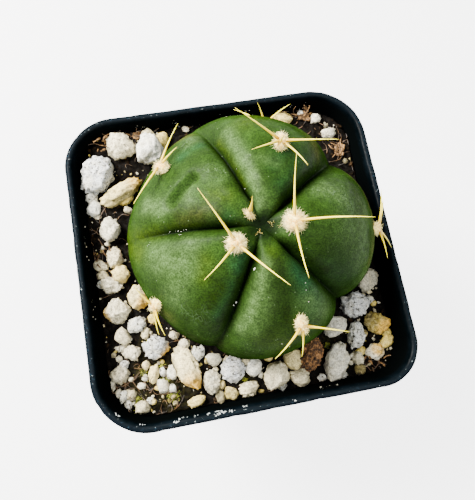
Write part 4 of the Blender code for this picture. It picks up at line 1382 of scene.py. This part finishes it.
def make_scoria(matrix, offset, finish):
    """A spongy cinder, all pits and ragged walls."""
    directions, faces = BALLS[5]
    points, pit_and_underside_shade = [], []
    for spot in directions:
        radius = 1.04 - STONE_LUMPS * abs(noise(spot * 1.1 + offset))
        radius += 0.12 * noise(spot * 3 + offset) + 0.12 * noise(spot * 7 + offset)
        radius += 0.1 * noise(spot * 15 - offset)
        gaps, _ = voronoi(spot * 7.5 + offset)
        hollow = float(smooth_step(0.46 - gaps[0], 0, 0.3))
        points.append(matrix @ (spot * (radius - 0.16 * hollow)))
        # Painted shade in the pits and on the lower side of the cinder.
        pit_and_underside_shade.append(min(1.0, hollow + 0.3 * float(smooth_step(0.2 - spot.z, 0, 0.6))))
    shape = Shape("pit")
    shape.add(points, faces, pit=pit_and_underside_shade)
    rng = random.Random(626)
    spots, faces = BALLS[2]
    for _ in range(SCORIA_GRAINS):
        centre = rng.choice(points)
        offset = scattered(rng, 40)
        size = rng.uniform(0.12, 0.34) * MM
        grain = [centre + spot * size * (1 + 0.6 * noise(spot * 1.6 + offset)) for spot in spots]
        shape.add(grain, faces, pit=rng.choice((0.0, 0.0, 0.3, 0.8)))
    shape.piece("scoria_fine", finish, "scoria")


def kept_inside(x, y, radius):
    """The place moved inwards, if need be, so that a grain there clears the wall."""
    level = soil_height(x, y)
    half = wall_half(level) - GRAIN_GAP - radius
    corner = max(wall_corner(level, quarter_of(x, y)) - GRAIN_GAP - radius, MM)
    straight = half - corner
    x, y = clamp(x, -half, half), clamp(y, -half, half)
    beyond = Vector((abs(x) - straight, abs(y) - straight))
    if beyond.x > 0 and beyond.y > 0 and beyond.length > corner:
        beyond *= corner / beyond.length
        x = math.copysign(straight + beyond.x, x)
        y = math.copysign(straight + beyond.y, y)
    return x, y


def make_small_stones(finish):
    rng = random.Random(909)
    shape = Shape(*STONE_VALUES)
    for kind, stones in SMALL_STONES.items():
        for x, y, length, width in stones:
            x, y = kept_inside(x * MM, y * MM, min(length, width) / 2 * MM)
            height = 0.85 * min(length, width)
            turn = rng.uniform(-25, 25)
            matrix = stone_matrix(x / MM, y / MM, length, width, height, turn, 0.22 * height)
            add_stone(shape, kind, matrix, rng, scattered(rng, 40), 3)
    shape.piece("small_stones", finish)


def near_body(x, y, overlap):
    return math.hypot(x - BODY_CENTRE.x, y - BODY_CENTRE.y) < BODY_RADIUS - overlap


def covered(x, y, radius):
    """True where a big stone or the cactus already lies."""
    if near_body(x, y, 3 * MM):
        return True
    for _, a, b, length, width, _, turn, _ in STONES.values():
        cos, sin = math.cos(math.radians(turn)), math.sin(math.radians(turn))
        dx, dy = x - a * MM, y - b * MM
        along, over = dx * cos + dy * sin, dy * cos - dx * sin
        long, wide = length / 2 * MM + radius, width / 2 * MM + radius
        if (along / long) ** 2 + (over / wide) ** 2 < 0.8:
            return True
    return False


def grit_density(x, y):
    """Share of the mix that grit covers: most at the front left, little at the back."""
    front = smooth_step(-y / MM, 4, 24)
    left = smooth_step(-x / MM, -10, 24)
    right = smooth_step(x / MM, 10, 26) * smooth_step(-y / MM, 6, 18)
    return 0.1 + 0.3 * left * (1 - front) + front * (0.4 + 0.2 * left) + 0.3 * right


def make_grit(finish):
    """Fine pumice grit, thickest at the front left."""
    rng = random.Random(512)
    shape = Shape(*STONE_VALUES)
    made = 0
    while made < GRIT_COUNT:
        x, y = rng.uniform(-STREWN, STREWN), rng.uniform(-STREWN, STREWN)
        size = 0.35 + 1.35 * rng.random() ** 3
        inside = kept_inside(x, y, size / 2 * MM) == (x, y)
        if not inside or rng.random() > grit_density(x, y) or covered(x, y, size * 0.3 * MM):
            continue
        width, turn = size * rng.uniform(0.6, 0.95), rng.uniform(0, 360)
        matrix = stone_matrix(x / MM, y / MM, size, width, size * 0.8, turn, 0.22 * size)
        matrix.translation.z += soil_level(x, y) - soil_height(x, y)
        offset = scattered(rng, 40)
        add_stone(shape, rng.choice(GRIT_KINDS), matrix, rng, offset, 2)
        made += 1
    shape.piece("fine_grit", finish)


def strand(rng, start, heading, length, radius, curl):
    """Points and faces of a bent strand that stays above the mix and inside the wall."""
    line = [start]
    ahead = heading.copy()
    bend = scattered(rng) * curl
    half = wall_half(POT_HEIGHT - SOIL_DROP) - 0.4 * MM
    for _ in range(STRAND_STEPS):
        ahead = (ahead + bend * 0.25 + scattered(rng, 0.2)).normalized()
        after = line[-1] + ahead * length / STRAND_STEPS
        after.z = max(after.z, soil_height(after.x, after.y) + 0.1 * MM)
        line.append(after)
    for point in line:
        point.x, point.y = clamp(point.x, -half, half), clamp(point.y, -half, half)
    radii = [radius * (1 - 0.6 * abs(step - 3) / 6) for step in range(STRAND_STEPS + 1)]
    return tube(line, radii, STRAND_SIDES, 0.2)


def strewn(rng, x, y, reach, spread_out=0.5):
    return (x + rng.gauss(0, spread_out) * reach) * MM, (y + rng.gauss(0, spread_out) * reach) * MM


def make_strands(name, finish, seed, patches, kind, bare_only):
    """Strands heaped on the mix, or only where it is bare. The kind says how they vary."""
    clearance, lifts, steepest, lengths, radii, curls = kind
    rng = random.Random(seed)
    shape = Shape()
    for x, y, reach, count in patches:
        for _ in range(count):
            a, b = kept_inside(*strewn(rng, x, y, reach), clearance * MM)
            if bare_only and covered(a, b, 0):
                continue
            start = Vector((a, b, soil_level(a, b) + rng.uniform(*lifts) * MM))
            heading = Vector((rng.uniform(-1, 1), rng.uniform(-1, 1), rng.uniform(-0.1, steepest)))
            length, radius = rng.uniform(*lengths) * MM, rng.uniform(*radii) * MM
            shape.add(*strand(rng, start, heading.normalized(), length, radius, rng.uniform(*curls)))
    shape.piece(name, finish)


def make_wall_crumbs(finish):
    """Pale crumbs that stuck to the inside of the wall above the mix."""
    rng = random.Random(664)
    shape = Shape(*STONE_VALUES)
    for x, y, reach, count in WALL_CRUMBS:
        for _ in range(count):
            level = POT_HEIGHT - rng.uniform(*WALL_CRUMB_DROPS) * MM
            a = x + rng.gauss(0, 0.5) * reach if abs(y) > abs(x) else x
            b = y + rng.gauss(0, 0.5) * reach if abs(x) > abs(y) else y
            half = wall_half(level)
            centre = Vector((clamp(a * MM, -half, half), clamp(b * MM, -half, half), level))
            size = rng.uniform(0.05, 0.16) * MM
            stretch = Vector((rng.uniform(0.7, 2), rng.uniform(0.7, 2), rng.uniform(0.6, 1.2)))
            tones = {"yellow": rng.uniform(0, 0.3), "grey": rng.uniform(0.4, 1)}
            add_crumb(shape, 2, centre, stretch, size, **tones)
    shape.piece("wall_crumbs", finish)


def make_crumbs(finish):
    """Dark angular crumbs of bark and peat that break up the surface of the mix."""
    rng = random.Random(733)
    directions, faces = BALLS[2]
    shape = Shape()
    for _ in range(PEAT_COUNT):
        x, y = kept_inside(rng.uniform(-STREWN, STREWN), rng.uniform(-STREWN, STREWN), 0.6 * MM)
        size = (0.5 + 1.5 * rng.random() ** 2.4) * MM
        cuts = chipped(rng, 8, 0.35, 0.85)
        turned = Matrix.Rotation(rng.uniform(0, math.tau), 3, "Z")
        turned = turned @ Matrix.Rotation(rng.uniform(-0.5, 0.5), 3, "X")
        if near_body(x, y, 4 * MM):
            continue
        centre = Vector((x, y, soil_level(x, y) + 0.1 * size))
        points = []
        for spot in directions:
            radius = 1 + 0.25 * noise(spot * 2 + centre / MM)
            for facing, distance in cuts:
                along = spot.dot(facing)
                if along > 0.2:
                    radius = min(radius, distance / along)
            points.append(centre + turned @ Vector((spot.x, spot.y * 0.7, spot.z * 0.4)) * radius * size / 2)
        shape.add(points, faces)
    shape.piece("peat_crumbs", finish, smooth=False)


def make_moss(finish):
    """Specks of yellow-green moss."""
    rng = random.Random(811)
    shape = Shape()
    for x, y, reach in MOSS_PATCHES:
        for _ in range(int(MOSS_DENSITY * reach)):
            a, b = strewn(rng, x, y, reach, 0.42)
            size = rng.uniform(0.09, 0.26) * MM
            centre = Vector((a, b, soil_level(a, b) + rng.uniform(0, 0.3) * MM))
            stretch = Vector([rng.uniform(0.6, 1.4) for _ in range(3)])
            add_crumb(shape, 1, centre, stretch, size / 2)
    shape.piece("moss_specks", finish)


def make_chips(finish):
    """Curled, split chips of bark, each a bundle of flat fibres."""
    for number, (name, (x, y, length, width, turn)) in enumerate(BARK_CHIPS.items()):
        rng = random.Random(850 + number)
        level = soil_height(x * MM, y * MM) + BARK_THICKNESS * 0.3
        at = Matrix.Translation((x * MM, y * MM, level)) @ spun(turn)
        shape = Shape()
        for strip in range(BARK_STRIPS):
            across = (strip / (BARK_STRIPS - 1) - 0.5) * width * 0.8
            lift = rng.uniform(-0.1, 0.35)
            start, end = rng.uniform(-0.52, -0.36), rng.uniform(0.3, 0.52)
            line, radii = [], []
            for step in range(STRAND_STEPS + 1):
                part = start + (end - start) * step / STRAND_STEPS
                wave = 0.3 * noise(Vector((part * 3, strip, number)))
                curl = 1.4 * part * part
                line.append(at @ (Vector((part * length, across + wave, lift + curl * 0.6)) * MM))
                radii.append((0.26 + 0.12 * noise(Vector((part * 5, strip, 4)))) * MM)
            shape.add(*tube(line, radii, BARK_SIDES, 0.15))
        shape.piece(f"{name}_fine", finish, name)


# Camera, light and floor


def view_axes():
    azimuth, elevation = math.radians(VIEW_AZIMUTH), math.radians(VIEW_ELEVATION)
    roll = math.radians(VIEW_ROLL)
    flat = math.cos(elevation)
    back = Vector((math.sin(azimuth) * flat, -math.cos(azimuth) * flat, math.sin(elevation)))
    right = Vector((0, 0, 1)).cross(back).normalized()
    up = back.cross(right)
    turned = right * math.cos(roll) + up * math.sin(roll)
    return turned, up * math.cos(roll) - right * math.sin(roll), back


def make_camera():
    right, up, back = view_axes()
    data = bpy.data.cameras.new("camera")
    data.lens = VIEW_LENS
    data.sensor_width = SENSOR_WIDTH
    data.clip_start = MM
    camera = link("camera", data)
    camera.matrix_world = placed(VIEW_AIM + back * VIEW_DISTANCE, right, up, back)
    bpy.context.scene.camera = camera


def add_light(name, way, distance, size, power, colour):
    """A square soft light that faces the plant."""
    right, up, back = view_axes()
    direction = (right * way[0] + up * way[1] + back * way[2]).normalized()
    data = bpy.data.lights.new(name, "AREA")
    data.size = size
    data.energy = power
    data.color = colour
    place = VIEW_AIM + Vector((0, 0, LIGHT_LIFT)) + direction * distance
    turned = direction.to_track_quat("Z", "Y").to_matrix().to_4x4()
    link(name, data).matrix_world = Matrix.Translation(place) @ turned


def make_stage():
    bm = bmesh.new()
    bmesh.ops.create_grid(bm, x_segments=8, y_segments=8, size=FLOOR_REACH)
    floor = link("floor", mesh_from(bm, "floor"))
    floor.data.materials.append(floor_finish())
    floor.location.z = -FLOOR_DROP
    world = bpy.data.worlds.new("studio")
    world.use_nodes = True
    background = world.node_tree.nodes["Background"]
    background.inputs["Color"].default_value = SKY
    background.inputs["Strength"].default_value = SKY_STRENGTH
    bpy.context.scene.world = world
    for name, settings in LIGHTS.items():
        add_light(name, *settings)


def main():
    make_camera()
    make_stage()
    pale = stone_finish("pumice_chalky", (232, 231, 220), (100, 100, 94))
    grey = stone_finish("pumice_ashy", (224, 225, 222), (108, 111, 112))
    wool = wool_finish()
    bark = bark_finish()
    make_pot(pot_finish())
    make_lime(lime_finish())
    make_soil(soil_finish())
    make_skin(skin_finish())
    make_flecks(pale)
    make_areoles(wool, spine_finish())
    make_crown_wool(wool)
    make_stones(pale, grey, scoria_finish())
    make_small_stones(pale)
    make_grit(pale)
    make_chips(bark)
    make_strands("bark_curls", bark, 655, CURL_PATCHES, CURL, False)
    make_wall_crumbs(pale)
    make_strands("loose_fibres", fibre_finish(), 640, FIBRE_PATCHES, FIBRE, True)
    make_crumbs(crumb_finish())
    make_moss(moss_finish())


main()
